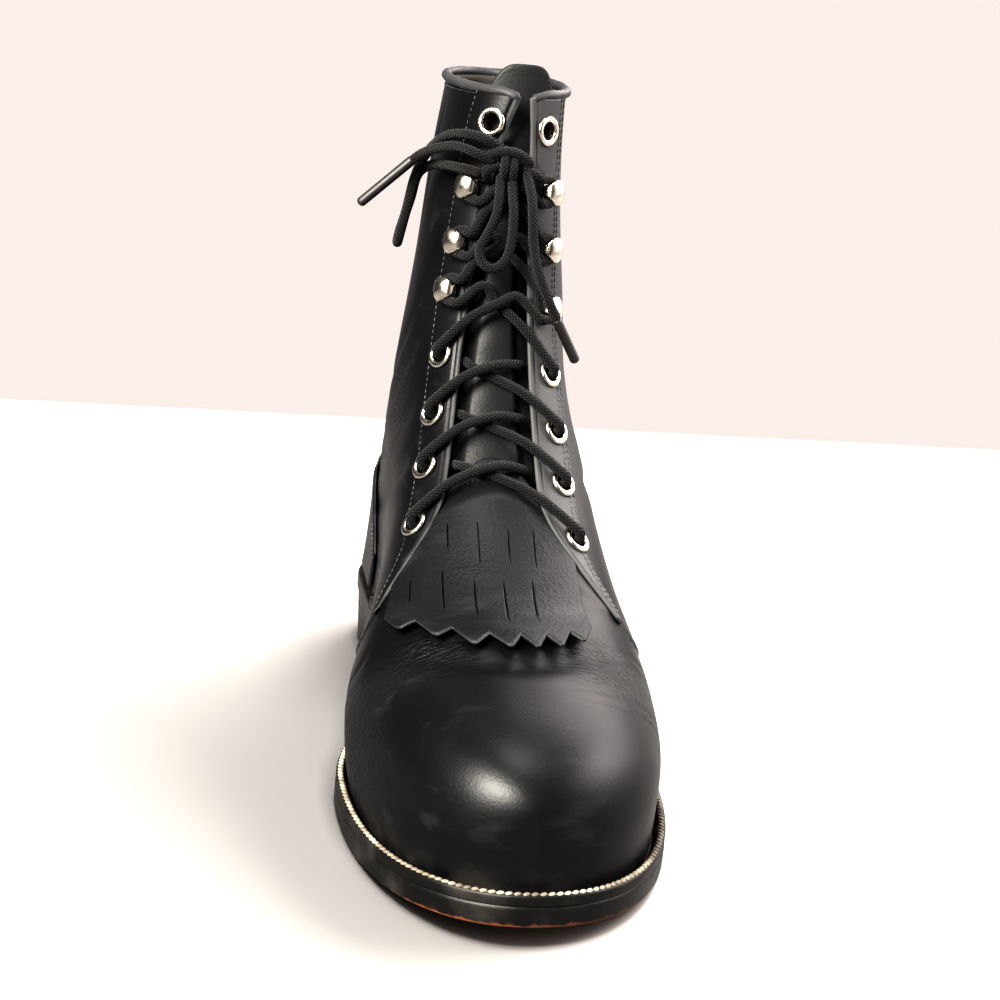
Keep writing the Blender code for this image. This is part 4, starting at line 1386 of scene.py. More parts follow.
@dataclass
class Upper:
    """Hollow leather body: vamp and shaft in one wall, lined inside."""

    last: Last
    facing: Facing
    palette: Palette
    sewing: Sewing
    # Strength of the painted sheen on the outer side, standing in for light falling from that side.
    fade: float = 0.8
    wall: float = 1.8
    columns: int = 62
    seam_step: float = 0.55
    seam_rows: tuple[float, float] = (2.2, 4.6)
    collar_row_u: float = 11.93
    collar_row_start: float = 24.0
    seam: dict[Side, tuple] = field(default_factory=lambda: {
        Side.MEDIAL: ((3.26, 0.60), (3.7, 0.70), (4.4, 0.80), (5.4, 0.86), (6.6, 0.84)),
        Side.LATERAL: ((3.02, 0.57), (3.5, 0.68), (4.3, 0.79), (5.4, 0.86), (6.6, 0.84)),
    })

    def sections(self) -> Array:
        """Sections of the rows of points, closest at the toe tip.

        Returns:
            Rising sections.
        """
        toe = 0.6 * np.linspace(0.0, 1.0, 19) ** 2
        vamp = np.linspace(0.6, self.facing.throat_u, 72)[1:]
        open_u = self.facing.throat_u + self.facing.throat_round
        throat = self.facing.throat_u + self.facing.throat_round * np.linspace(0.0, 1.0, 15)[1:] ** 2
        heel = np.linspace(open_u, SEAT_U, 92)[1:]
        shaft = np.linspace(SEAT_U, COLLAR_U, 82)[1:]
        return np.concatenate([toe, vamp, throat, heel, shaft])

    def seam_share(self, u: Array, side: Side) -> Array:
        """Share of the girth at which the shaft's lower edge lies over the vamp."""
        stations, shares = zip(*self.seam[side])
        return Spline(stations, shares).at(u)

    def over_vamp(self, u: Array, s: Array) -> Array:
        """Height of the shaft's leather over the vamp, as a step along the seam.

        Args:
            u: Sections.
            s: Signed distances from the ridge.

        Returns:
            A height for each place.
        """
        out = np.zeros(len(u))
        for side in Side:
            pick = (s < 0.0) if side is Side.MEDIAL else (s >= 0.0)
            girth = self.last.girth(u[pick], side)
            above = (self.seam_share(u[pick], side) - np.abs(s[pick]) / girth) * girth
            step = ease(above / 1.2) * ease((u[pick] - self.seam[side][0][0]) / 0.12)
            out[pick] = self.seam_step * step * ease((6.7 - u[pick]) / 0.6)
        return out

    def sheet(self) -> tuple[Array, Array, Array, list[Face]]:
        """Places of the outer face, shared along the ridge, the back and the toe tip.

        Returns:
            Sections, signed distances, normals and faces.
        """
        rows = self.sections()
        share = np.linspace(0.0, 1.0, self.columns + 1)
        index = {}
        places, normals, faces = [], [], []
        for side in Side:
            first = self.facing.wall(rows, side)[:, None]
            s = side.value * mix(first, self.last.girth(rows, side)[:, None], share[None, :])
            u = np.broadcast_to(rows[:, None], s.shape)
            out = self.last.outward(u, np.where(s == 0.0, side.value * 1e-6, s))
            index[side] = np.arange(s.size).reshape(s.shape) + sum(len(p) for p in places)
            places.append(np.stack([u.ravel(), s.ravel()], axis=1))
            normals.append(out.reshape(-1, 3))
        places, normals = np.concatenate(places), np.concatenate(normals)
        keep = np.arange(len(places))
        inner, outer = index[Side.MEDIAL], index[Side.LATERAL]
        joined = [(inner[i, 0], outer[i, 0]) for i in np.nonzero(rows <= self.facing.throat_u)[0]]
        joined += [(inner[i, -1], outer[i, -1]) for i in np.nonzero(rows >= SEAT_U - 1e-6)[0]]
        joined += list(zip(inner[0], outer[0]))
        for a, b in joined:
            keep[b] = a
            normals[a] = unit(normals[a] + normals[b])
        used, new = np.unique(keep, return_inverse=True)
        for side, grid in index.items():
            at = new[grid].ravel().tolist()
            quads = [tuple(at[k] for k in face) for face in grid_faces(*grid.shape)]
            faces += quads if side is Side.LATERAL else [face[::-1] for face in quads]
        return places[used, 0], places[used, 1], normals[used], faces

    def flexed(self, u: Array, share: Array) -> Array:
        """How much the leather is finely creased, at the ball and at the ankle.

        Args:
            u: Sections.
            share: Shares of the girth.

        Returns:
            A share for each place.
        """
        ball = np.exp(-((u - 1.75) / 0.4) ** 2) * ease((share - 0.05) / 0.3)
        ankle = 0.5 * np.exp(-((u - 7.4) / 1.2) ** 2) * ease((share - 0.25) / 0.2)
        return np.clip(ball + ankle, 0.0, 1.0)

    def painted_sheen_share(self, u: Array, s: Array, share: Array) -> Array:
        """How much painted sheen lightens the leather on the outer side of the shaft, standing in for the
        light falling from that side.
        """
        return self.fade * ease((u - 3.2) / 3.0) * ease(s / 12.0) * ease((0.8 - share) / 0.6)

    def build(self, cutter: Object) -> None:
        """Make the upper.

        Args:
            cutter: Cylinders of the eyelet holes.
        """
        u, s, out, faces = self.sheet()
        base = self.last.skin(u, s)
        share = np.abs(s) / self.last.reach(u, s)
        relief = sum(crease.relief(base, self.last) for crease in CREASES)
        relief = relief * ease((1.0 - share) / 0.06 + np.where(u > SEAT_U, 1.0, 0.0))
        relief = relief + self.over_vamp(u, s)
        outer = base + out * relief[:, None]
        inner = base - out * self.wall
        points, walls = closed_shell(outer, inner, faces)
        blank = np.zeros(len(base))
        low = ease((13.0 - (base[:, 2] - self.last.sole.bed(base[:, 1]))) / 11.0)
        paint = {
            "flex": np.concatenate([self.flexed(u, share), blank]),
            "dirt": np.concatenate([0.55 * low * (u < SEAT_U), blank]),
            # Painted sheen on the outer side of the shaft.
            "fade": np.concatenate([self.painted_sheen_share(u, s, share), blank]),
        }
        piece = make_piece("upper_leather", points, walls, [self.palette.upper, self.palette.lining], paint)
        slots = np.zeros(len(walls), np.int32)
        slots[len(faces):2 * len(faces)] = 1
        piece.data.polygons.foreach_set("material_index", slots)
        cut(piece, cutter)
        hand_over(piece, "leather", "upper")

    def sew(self) -> None:
        """Lay the stitch rows of the seam over the vamp and of the collar."""
        for side in Side:
            u = np.linspace(self.seam[side][0][0] + 0.04, 6.5, 160)
            girth = self.last.girth(u, side)
            for k, above in enumerate(self.seam_rows):
                s = side.value * (self.seam_share(u, side) * girth - above)
                self.sewing.on_last("seam_%s_%d" % (side.word, k + 1), u, s, self.seam_step)
        for side in Side:
            girth = float(self.last.girth(self.collar_row_u, side))
            s = side.value * np.linspace(self.collar_row_start, girth - 0.5, 120)
            self.sewing.on_last("collar_row_%s" % side.word, np.full(120, self.collar_row_u), s, 0.0)


@dataclass
class Facings:
    """Facings beside the throat, with a turned edge, one sewn row on the inner facing and two on the outer
    one.
    """

    facing: Facing
    palette: Palette
    sewing: Sewing
    # Strength of the painted sheen on the outer facing, standing in for light falling from that side.
    fade: float = 0.8
    full_width: float = 8.0
    rows: tuple[float, float] = (1.7, 4.3)

    def profile(self, width: Array) -> tuple[Array, Array, Array]:
        """Places across a facing, its height there and how worn it is.

        Args:
            width: Width of the facing at each section.

        Returns:
            Distances from the inner edge and heights, a row for each section, and the wear across.
        """
        steps = np.array([0.0, 0.12, 0.35, 0.8, 1.5, 2.1, 2.4, 2.7, 3.1, 4.0])
        drop = np.array([0.75, 0.4, 0.14, 0.0, -0.06, 0.0, 0.32, 0.34, 0.08, 0.0])
        wear = np.array([1.0, 1.0, 0.8, 0.45, 0.25, 0.25, 0.1, 0.0, 0.0, 0.0])
        middle = np.linspace(0.0, 1.0, 18)[1:-1]
        ends = np.array([1.2, 0.6, 0.25, 0.08, 0.0])
        end_drop = np.array([0.0, 0.08, 0.25, 0.5, 0.8])
        taper = np.minimum(1.0, width / self.full_width)[:, None]
        inner, outer = steps * taper, width[:, None] - ends * taper
        across = np.concatenate([inner, mix(inner[:, -1:], outer[:, :1], middle), outer], axis=1)
        flat = np.zeros(len(middle))
        drop = np.concatenate([drop, flat, end_drop]) * taper
        return across, self.facing.top - drop, np.concatenate([wear, flat, 0.3 * end_drop])

    def build(self, side: Side, cutter: Object) -> None:
        """Make one facing with its stitch rows.

        Args:
            side: Side of the foot.
            cutter: Cylinders of the eyelet holes.
        """
        facing = self.facing
        point = facing.point(side)
        u = np.concatenate([
            point + 0.97 * np.linspace(0.0, 1.0, 26) ** 1.8,
            np.linspace(point + 0.97, COLLAR_U, 130)[1:],
        ])
        width = facing.outer(u, side)
        across, top, wear = self.profile(width)
        s = side.value * (facing.edge(u, side)[:, None] + across)
        if side is Side.MEDIAL:
            s, top, wear = s[:, ::-1], top[:, ::-1], wear[::-1]
        points, walls = facing.last.shell(u[:, None], s, facing.lift, top)
        # The outer facing gets the painted sheen all over, the inner one none.
        paint = {"wear": np.tile(wear, 2 * len(u)), "fade": np.full(len(points), side.of(0.0, self.fade))}
        piece = make_piece("facing_" + side.word, points, walls, [self.palette.facing], paint)
        cut(piece, cutter)
        line = np.linspace(point + 0.12, COLLAR_U - 0.05, 200)
        for k, inset in enumerate(side.of(self.rows[:1], self.rows)):
            away = facing.edge(line, side) + np.maximum(facing.outer(line, side) - inset, 0.6)
            name = "facing_row_%s_%d" % (side.word, k + 1)
            self.sewing.on_last(name, line, side.value * away, facing.top)
        hand_over(piece, "leather", "eyestay_" + side.word)


@dataclass
class Tongue:
    """Soft tongue, puffed between the crossings of the lace, standing above the collar."""

    facing: Facing
    palette: Palette
    low: float = 3.45
    top: float = 13.5
    thick: float = 1.6
    under: float = 3.5
    free: float = 9.0
    back: float = 9.5
    half: float = 12.5
    tuck: float = 2.8
    puff: float = 1.1
    wide_low: float = 22.0
    wide_top: float = 24.0

    def wide(self, u: Array) -> Array:
        """Half of the width under the facings."""
        return mix(self.wide_low, self.wide_top, ease((u - self.low) / 6.0))

    def face(self, u: Array, q: Array, lift: Array) -> Array:
        """Points of the tongue.

        Args:
            u: Sections.
            q: Places across, from -1 to 1.
            lift: Heights over the upper's face.

        Returns:
            A point for each place.
        """
        last = self.facing.last
        under = last.raised(u, q * self.wide(u), lift)
        free = ease((u - self.free) / 2.6)[..., None]
        y = last.column["front_y"].at(u) + self.back + 3.0 * q * q - lift - self.under
        x = last.column["ridge_x"].at(u) + self.half * q
        return mix(under, np.stack([x, y, last.column["front_z"].at(u)], axis=-1), free)

    def build(self) -> None:
        """Make the tongue."""
        q = np.linspace(-1.0, 1.0, 49)[None, :]
        t = np.linspace(0.0, 1.0, 150)[:, None]
        u = mix(self.low, self.top - 1.5 * q ** 4, t)
        q = np.broadcast_to(q, u.shape)
        away = np.abs(q) * self.wide(u)
        edge = self.facing.beside(u, q)
        tucked = self.tuck * ease((away - edge + 6.0) / 6.0) * ease((self.free + 1.0 - u) / 1.5)
        rows = [0.5 * (row.medial + row.lateral) for row in CROSSED_ROWS[1:]]
        puffs = sum(np.exp(-((u - row - 0.02) / 0.24) ** 2) for row in rows)
        puffed = self.puff * puffs * np.clip(1.0 - (away / np.maximum(edge, 4.0)) ** 2, 0.0, 1.0)
        lift = -self.under - tucked + puffed
        round_off = 0.7 * np.clip(np.maximum(np.abs(q) - 0.95, t - 0.985) / 0.05, 0.0, 1.0)
        outer = self.face(u, q, lift - round_off).reshape(-1, 3)
        inner = self.face(u, q, lift - self.thick).reshape(-1, 3)
        points, walls = closed_shell(outer, inner, grid_faces(*u.shape))
        piece = make_piece("tongue_leather", points, walls, [self.palette.tongue])
        hand_over(piece, "leather", "tongue")


@dataclass
class Kiltie:
    """Fringed flap over the base of the tongue, with a pinked edge and two rows of slits."""

    facing: Facing
    palette: Palette
    low: float = 1.56
    bend: float = 0.00054
    middle: float = 2.0
    top: float = 4.75
    half_medial: float = 40.0
    half_lateral: float = 31.0
    teeth: int = 7
    tooth: float = 0.2
    blunt: float = 0.16
    curl: float = 2.6
    thick: float = 1.2
    slit: float = 0.6
    blade_over: float = 2.2
    blade_under: float = 1.6
    slits: tuple[tuple[float, float, float], ...] = (
        (-16.5, 3.40, 3.86), (-5.8, 3.10, 3.72), (4.8, 3.12, 3.68), (14.2, 3.12, 3.72),
        (-31.0, 2.76, 3.24), (-19.0, 2.34, 3.14), (-8.2, 2.08, 2.88), (2.0, 2.04, 2.82), (12.2, 2.10, 2.92),
    )

    def fringe(self, s: Array) -> Array:
        """Section at which the fringe's tips end."""
        return self.low + self.bend * (s - self.middle) ** 2

    def lift(self, u: Array, s: Array) -> Array:
        """Height of the flap's underside over the upper."""
        curl = self.curl * ease((self.fringe(s) + 0.8 - u) / 0.8)
        return mix(0.55 + curl, -1.65, ease((u - 4.05) / 0.3))

    def grid(self) -> tuple[Array, Array, Array]:
        """Places of the flap.

        Returns:
            Sections, signed distances and the share of the way up from the fringe.
        """
        q = np.linspace(-1.0, 1.0, self.teeth * 20 + 1)[None, :]
        t = np.concatenate([0.08 * np.linspace(0.0, 1.0, 9) ** 1.5, np.linspace(0.08, 1.0, 110)[1:]])[:, None]
        wide = np.where(q < 0.0, self.half_medial, self.half_lateral)
        saw = np.abs(2.0 * np.mod(0.5 * (q + 1.0) * self.teeth, 1.0) - 1.0)
        notch = np.clip((saw - self.blunt) / (1.0 - self.blunt), 0.0, 1.0)
        low = self.fringe(q * wide) + self.tooth * notch
        u = mix(low, self.top - 0.35 * q * q, t)
        edge = self.facing.beside(u, q)
        return u, q * np.minimum(edge - 0.7, wide), np.broadcast_to(t, u.shape)

    def blades(self) -> Object:
        """Thin blades of the slits.

        Returns:
            The cutter.
        """
        points, faces = [], []
        last = self.facing.last
        for s, low, top in self.slits:
            u = np.linspace(low, top, 9)
            line = np.full(9, s)
            out = last.outward(u, line)
            middle = last.raised(u, line, self.lift(u, line) + 0.5 * self.thick)
            side = unit(np.cross(np.gradient(middle, axis=0), out))
            swell = np.sqrt(np.sin(np.linspace(0.06, math.pi - 0.06, 9)))
            wide = 0.5 * self.slit * swell[:, None] * side
            over, under = out * self.blade_over, out * self.blade_under
            ring = (middle + wide + over, middle + wide - under, middle - wide - under, middle - wide + over)
            faces += tube_faces(len(u), len(ring), len(points) * len(ring) * len(u))
            points.append(np.stack(ring, axis=1).reshape(-1, 3))
        return make_piece("kiltie_blades", np.concatenate(points), faces, [self.palette.kiltie], weld=0.0001)

    def build(self) -> None:
        """Make the kiltie."""
        u, s, t = self.grid()
        dome = 0.9 * np.exp(-((u - 4.15) / 0.35) ** 2) * np.clip(1.0 - (s / 16.0) ** 2, 0.0, 1.0)
        loose = ease((self.fringe(s) + 0.6 - u) / 0.6)
        base = self.lift(u, s) + dome + 0.4 * np.sin(s / 5.2 + 1.0) * loose
        side = np.abs(np.linspace(-1.0, 1.0, u.shape[1]))[None, :]
        drop = 0.5 * np.clip(np.maximum((0.008 - t) / 0.008, (side - 0.99) / 0.01), 0.0, 1.0)
        points, walls = self.facing.last.shell(u, s, base, base + self.thick - drop)
        edge = (0.5 * np.clip((0.012 - t) / 0.012, 0.0, 1.0)).ravel()
        flex = (0.3 * np.exp(-((u - 3.04) / 0.2) ** 2) * np.exp(-((s + 4.0) / 16.0) ** 2)).ravel()
        paint = {"wear": np.concatenate([edge, edge]), "flex": np.concatenate([flex, 0.0 * flex])}
        piece = make_piece("kiltie_leather", points, walls, [self.palette.kiltie], paint)
        blades = self.blades()
        cut(piece, blades)
        discard(blades)
        hand_over(piece, "leather", "kiltie")


@dataclass
class HeelCounter:
    """Overlay round the back of the heel, sewn along its top."""

    last: Last
    palette: Palette
    sewing: Sewing
    first_u: float = 6.55
    top_z: float = 84.0
    fall: float = 0.0062
    lift: float = 0.7
    thick: float = 1.2
    rise: float = 2.4
    rows_per_u: float = 49.0
    side_end_u: float = 7.88
    row_insets: tuple[float, float] = (2.0, 4.6)

    def band(self, u: float, side: Side) -> tuple[float, float]:
        """Distances up a section to the overlay's lower and upper edge.

        Args:
            u: Section.
            side: Side of the foot.

        Returns:
            Lower and upper distance from the foot.
        """
        sole = self.last.sole
        girth = float(self.last.girth(u, side))
        up = np.linspace(0.0, girth, 400)
        points = self.last.skin(u, side.value * (girth - up))
        clear = float(sole.bed(sole.heel_y)) + self.rise
        over = points[:, 2] - self.top_z + self.fall * (sole.heel_y - points[:, 1]) ** 2
        start = float(np.interp(clear, points[:60, 2], up[:60])) if points[0, 2] < clear else 0.0
        above = np.nonzero(over > 0.0)[0]
        stop = above[0] if len(above) else 0
        if stop == 0:
            return start, start + 3.0
        share = -over[stop - 1] / (over[stop] - over[stop - 1])
        return start, max(mix(up[stop - 1], up[stop], share), 3.0)

    def build(self) -> None:
        """Make the overlay and its stitch rows."""
        sole = self.last.sole
        top_u = SEAT_U + (self.top_z - float(sole.bed(sole.heel_y))) / self.rows_per_u
        u = np.concatenate([
            np.linspace(self.first_u, self.side_end_u, 46),
            np.linspace(SEAT_U + self.rise / self.rows_per_u, top_u - 0.1, 26),
        ])
        share = np.concatenate([[0.0, 0.012, 0.04], np.linspace(0.08, 0.95, 22), [0.975, 0.99, 1.0]])
        drop = np.concatenate([[0.8, 0.3, 0.0], np.zeros(22), [0.12, 0.4, 0.85]])
        points, faces, worn = [], [], []
        lines = {}
        for side in Side:
            bands = np.array([self.band(x, side) for x in u])
            up = mix(bands[:, :1], bands[:, 1:], share[None, :])
            s = side.value * (self.last.girth(u, side)[:, None] - up)
            ends = np.clip(1.0 - (u - self.first_u) / 0.03, 0.0, 1.0)[:, None] * 0.7
            top = self.lift + self.thick - np.maximum(drop[None, :], ends)
            wall_points, walls = self.last.shell(u[:, None], s, self.lift, top, side is Side.LATERAL)
            start = sum(len(p) for p in points)
            points.append(wall_points)
            worn.append(np.tile(np.broadcast_to(0.25 * (drop > 0.3), s.shape).ravel(), 2))
            faces += [tuple(start + i for i in face) for face in walls]
            lines[side] = (u, side.value * (self.last.girth(u, side) - bands[:, 1]))
        piece = make_piece("counter_leather", np.concatenate(points), faces, [self.palette.facing],
                           {"wear": np.concatenate(worn)}, weld=0.05)
        for side, (line, edge) in lines.items():
            for k, inset in enumerate(self.row_insets):
                low = line[-1] - inset / self.rows_per_u
                rise = line < low
                s = (edge + side.value * inset)[rise]
                back = np.linspace(s[-1], side.value * float(self.last.girth(low, side)), 17)[1:]
                name = "counter_row_%s_%d" % (side.word, k + 1)
                row_u = np.append(line[rise], np.full(len(back), low))
                self.sewing.on_last(name, row_u, np.append(s, back), self.lift + self.thick)
        hand_over(piece, "leather", "heel_counter")


@dataclass
class CollarBinding:
    """Rolled binding on the collar edge."""

    last: Last
    palette: Palette
    out: float = 0.1
    wide: float = 1.85
    high: float = 1.85
    sag: float = 1.6
    sink: float = 0.6
    start: float = 1.8
    length: float = 230.0
    end_round: float = 1.6
    sides: int = 18

    def build(self) -> None:
        """Make the binding."""
        u = COLLAR_U
        inner = -np.linspace(self.start, float(self.last.girth(u, Side.MEDIAL)), 110)
        outer = np.linspace(float(self.last.girth(u, Side.LATERAL)), self.start, 110)[1:]
        s = np.concatenate([inner, outer])
        normal = self.last.outward(u, s)
        count = len(inner)
        normal[count - 1] = unit(normal[count - 2] + normal[count])
        for _ in range(6):
            normal[1:-1] = unit(normal[:-2] + 2.0 * normal[1:-1] + normal[2:])
        rise = self.last.upward(u, s, normal)
        stand = self.high - self.sink - self.sag * ease((10.0 - np.abs(s)) / 9.0)
        centre = self.last.skin(u, s) + normal * self.out + rise * stand[:, None]
        angle = circle(self.sides)
        places = np.linspace(0.0, 1.0, len(s))
        run = np.minimum(places, 1.0 - places) * self.length
        swell = np.sqrt(np.clip(1.0 - (1.0 - np.clip(run / self.end_round, 0.0, 1.0)) ** 2, 0.02, 1.0))
        lump = swell * (1.0 + 0.05 * np.sin(places * 61.0) + 0.03 * np.sin(places * 147.0))
        rings = centre[:, None, :] + lump[:, None, None] * (
            normal[:, None, :] * (self.wide * np.cos(angle))[None, :, None]
            + rise[:, None, :] * (self.high * np.sin(angle))[None, :, None]
        )
        faces = tube_faces(len(s), self.sides)
        piece = make_piece("collar_roll", rings.reshape(-1, 3), faces, [self.palette.binding], weld=0.001)
        hand_over(piece, "leather", "collar_binding")


@dataclass
class SoleUnit:
    """Outsole, heel, insole and the sewn welt."""

    sole: SoleShape
    palette: Palette
    sewing: Sewing
    welt_thick: float = 3.6
    welt_slope: float = 1.8
    groove_reach: float = 1.62
    groove_lift: float = 3.45
    bare_ends: int = 10
    insole_thick: float = 3.0
    upper_wall: float = 1.8

    def slab(
        self,
        stations: Sequence[tuple[float, float]],
        wall: Sequence[tuple[float | Callable, Callable]],
        columns: int = 10,
    ) -> tuple[Array, list[Face], int]:
        """Layer of the sole through cross sections.

        Args:
            stations: Places along the rim, medial and lateral.
            wall: Reach and height of each line of the side, from the bottom up.
            columns: Steps across the layer.

        Returns:
            Points, faces and the number of points in a section.
        """
        share = np.linspace(0.0, 1.0, columns + 1)[:, None]
        rings = []
        for w_medial, w_lateral in stations:
            lines = []
            for reach, height in wall:
                pair = []
                for side, w in ((Side.MEDIAL, w_medial), (Side.LATERAL, w_lateral)):
                    inset = reach(self.sole.rim(side, w, 0.0)[1]) if callable(reach) else reach
                    x, y = self.sole.rim(side, w, inset)
                    pair.append((x, y, float(height(y))))
                lines.append(pair)
            bottom = mix(np.array(lines[0][0]), np.array(lines[0][1]), share)
            top = mix(np.array(lines[-1][1]), np.array(lines[-1][0]), share)
            bottom[:, 2] = wall[0][1](bottom[:, 1])
            top[:, 2] = wall[-1][1](top[:, 1])
            right = np.array([pair[1] for pair in lines[1:-1]]).reshape(-1, 3)
            left = np.array([pair[0] for pair in lines[1:-1]][::-1]).reshape(-1, 3)
            rings.append(np.concatenate([bottom, right, top, left]))
        size = len(rings[0])
        return np.concatenate(rings), grid_faces(len(rings), size, True), size

    def stations(self) -> list[tuple[float, float]]:
        """Places along the whole rim.

        Returns:
            Medial and lateral place of each section.
        """
        toe = 1.0 - np.cos(np.linspace(0.0, math.pi / 2.0, 46))
        heel = 2.0 + np.sin(np.linspace(0.0, math.pi / 2.0, 40))
        places = np.concatenate([toe, np.linspace(1.0, 2.0, 60)[1:], heel[1:]])
        return [(w, w) for w in places]

    def at(self, lift: float) -> Callable:
        """Height over the sole's underside, as a function of depth."""
        return lambda y: self.sole.tread(y) + lift

    def worn_edge(self, points: Array) -> Array:
        """Wear of the lower edge, most at the toe and at the back of the heel.

        Args:
            points: Points of the outsole.

        Returns:
            A share for each point.
        """
        height = points[:, 2] - self.sole.tread(points[:, 1])
        low = ease((1.9 - height) / 1.7)
        toe = ease((-96.0 - points[:, 1]) / 40.0)
        back = 0.4 * ease((points[:, 1] - 118.0) / 20.0)
        return np.clip(0.95 * low * np.maximum(toe, back), 0.0, 1.0)

    def build_outsole(self) -> None:
        """Make the outsole with rounded edges and a worn toe."""
        levels = (
            (0.0, 0.9), (0.22, 0.35), (0.6, 0.08), (1.1, 0.0), (2.6, 0.0), (4.2, 0.05), (5.9, 0.0),
            (6.5, 0.1), (self.sole.thick, 0.5),
        )
        points, faces, _ = self.slab(self.stations(), [(reach, self.at(z)) for z, reach in levels])
        dirt = 0.6 * (points[:, 2] < self.sole.tread(points[:, 1]) + 0.1)
        paint = {"wear": self.worn_edge(points), "dirt": dirt}
        sole = [self.palette.sole]
        piece = make_piece("outsole_rubber", points, faces, sole, paint, weld=0.002, sharp=50.0)
        hand_over(piece, "rubber", "outsole")

    def build_heel(self) -> None:
        """Make the block heel with the joints of its lifts."""
        sole = self.sole
        top = sole.heel_height - sole.gap
        levels = (
            (0.0, 2.6), (0.25, 2.1), (0.8, 1.75), (6.4, 1.5), (6.8, 1.85), (7.2, 1.48), (12.2, 1.2),
            (12.5, 1.4), (12.8, 1.18), (17.5, 0.9), (17.8, 1.1), (18.1, 0.88), (top - 0.3, 0.62), (top, 0.8),
        )
        wall = [(reach, lambda y, z=z: np.full(np.shape(y), z)) for z, reach in levels]
        depths = np.linspace(sole.breast_y, sole.turn_y, 24)
        straight = [tuple(sole.place(side, y) for side in Side) for y in depths]
        turned = [(w, w) for w in 2.0 + np.sin(np.linspace(0.0, math.pi / 2.0, 40))[1:]]
        points, faces, size = self.slab(straight + turned, wall)
        faces.append(tuple(range(size))[::-1])
        back = ease((points[:, 1] - 120.0) / 22.0) * ease((3.0 - points[:, 2]) / 2.8)
        paint = {"wear": 0.7 * back, "dirt": 0.6 * (points[:, 2] < 0.1)}
        piece = make_piece("heel_block", points, faces, [self.palette.sole], paint, weld=0.002, sharp=50.0)
        hand_over(piece, "rubber", "heel")

    def build_insole(self) -> None:
        """Make the insole board."""
        def reach(y: float) -> float:
            """Distance of the board's edge inside the sole's edge."""
            return self.sole.feather(y) + self.upper_wall + 1.7

        over = self.sole.thick + self.sole.gap
        wall = [(reach, self.at(over)), (reach, self.at(over + self.insole_thick - 0.6)),
                (lambda y: reach(y) + 0.6, self.at(over + self.insole_thick))]
        points, faces, _ = self.slab(self.stations(), wall, 16)
        piece = make_piece("insole_board", points, faces, [self.palette.insole], weld=0.002, sharp=60.0)
        hand_over(piece, "insole", "insole")

    def on_welt(self, side: Side, w: float, reach: float, lift: float) -> Point:
        """Point of the rim at a height over the outsole."""
        x, y = self.sole.rim(side, w, reach)
        return x, y, float(self.sole.bed(y)) + lift

    def welt_path(self, steps: int) -> list[tuple[Side, float]]:
        """Places along the welt, from breast to breast round the toe.

        Args:
            steps: Places in each quarter of the way.

        Returns:
            Side and place of each section.
        """
        ends = {side: self.sole.place(side, self.sole.breast_y - 2.0) for side in Side}
        toe = 1.0 - np.cos(np.linspace(0.0, math.pi / 2.0, steps))
        path = [(Side.MEDIAL, w) for w in np.linspace(ends[Side.MEDIAL], 1.0, steps)[:-1]]
        path += [(Side.MEDIAL, w) for w in toe[::-1]]
        path += [(Side.LATERAL, w) for w in toe[1:]]
        return path + [(Side.LATERAL, w) for w in np.linspace(1.0, ends[Side.LATERAL], steps)[1:]]

    def build_welt(self) -> None:
        """Make the welt with its groove and its light stitch row."""
        rings, line = [], []
        for side, w in self.welt_path(110):
            inner = self.sole.feather(self.sole.rim(side, w, 0.2)[1]) - 0.6
            lip = inner - self.welt_slope
            lines = (
                (inner, 0.0), (0.2, 0.0), (0.12, 0.5), (0.12, 2.5), (0.3, 3.15), (0.75, 3.5), (1.05, 3.45),
                (1.35, 3.2), (1.9, 3.2), (2.2, 3.5), (2.4, self.welt_thick), (lip, self.welt_thick),
            )
            rings.append([self.on_welt(side, w, reach, lift) for reach, lift in lines])
            line.append(self.on_welt(side, w, self.groove_reach, self.groove_lift))
        points = np.array(rings).reshape(-1, 3)
        faces = tube_faces(len(rings), len(rings[0]))
        paint = {"dirt": np.tile([0.0] * 6 + [0.5, 1.0, 1.0, 0.6, 0.5, 0.5], len(rings))}
        piece = make_piece("welt_strip", points, faces, [self.palette.welt], paint, weld=0.002, sharp=50.0)
        hand_over(piece, "rubber", "welt")
        line = line[self.bare_ends:-self.bare_ends]
        row = self.sewing.row("welt_stitches", np.array(line), np.tile((0.0, 0.0, 1.0), (len(line), 1)),
                              self.sewing.welt, self.palette.welt_thread)
        hand_over(row, "lace")


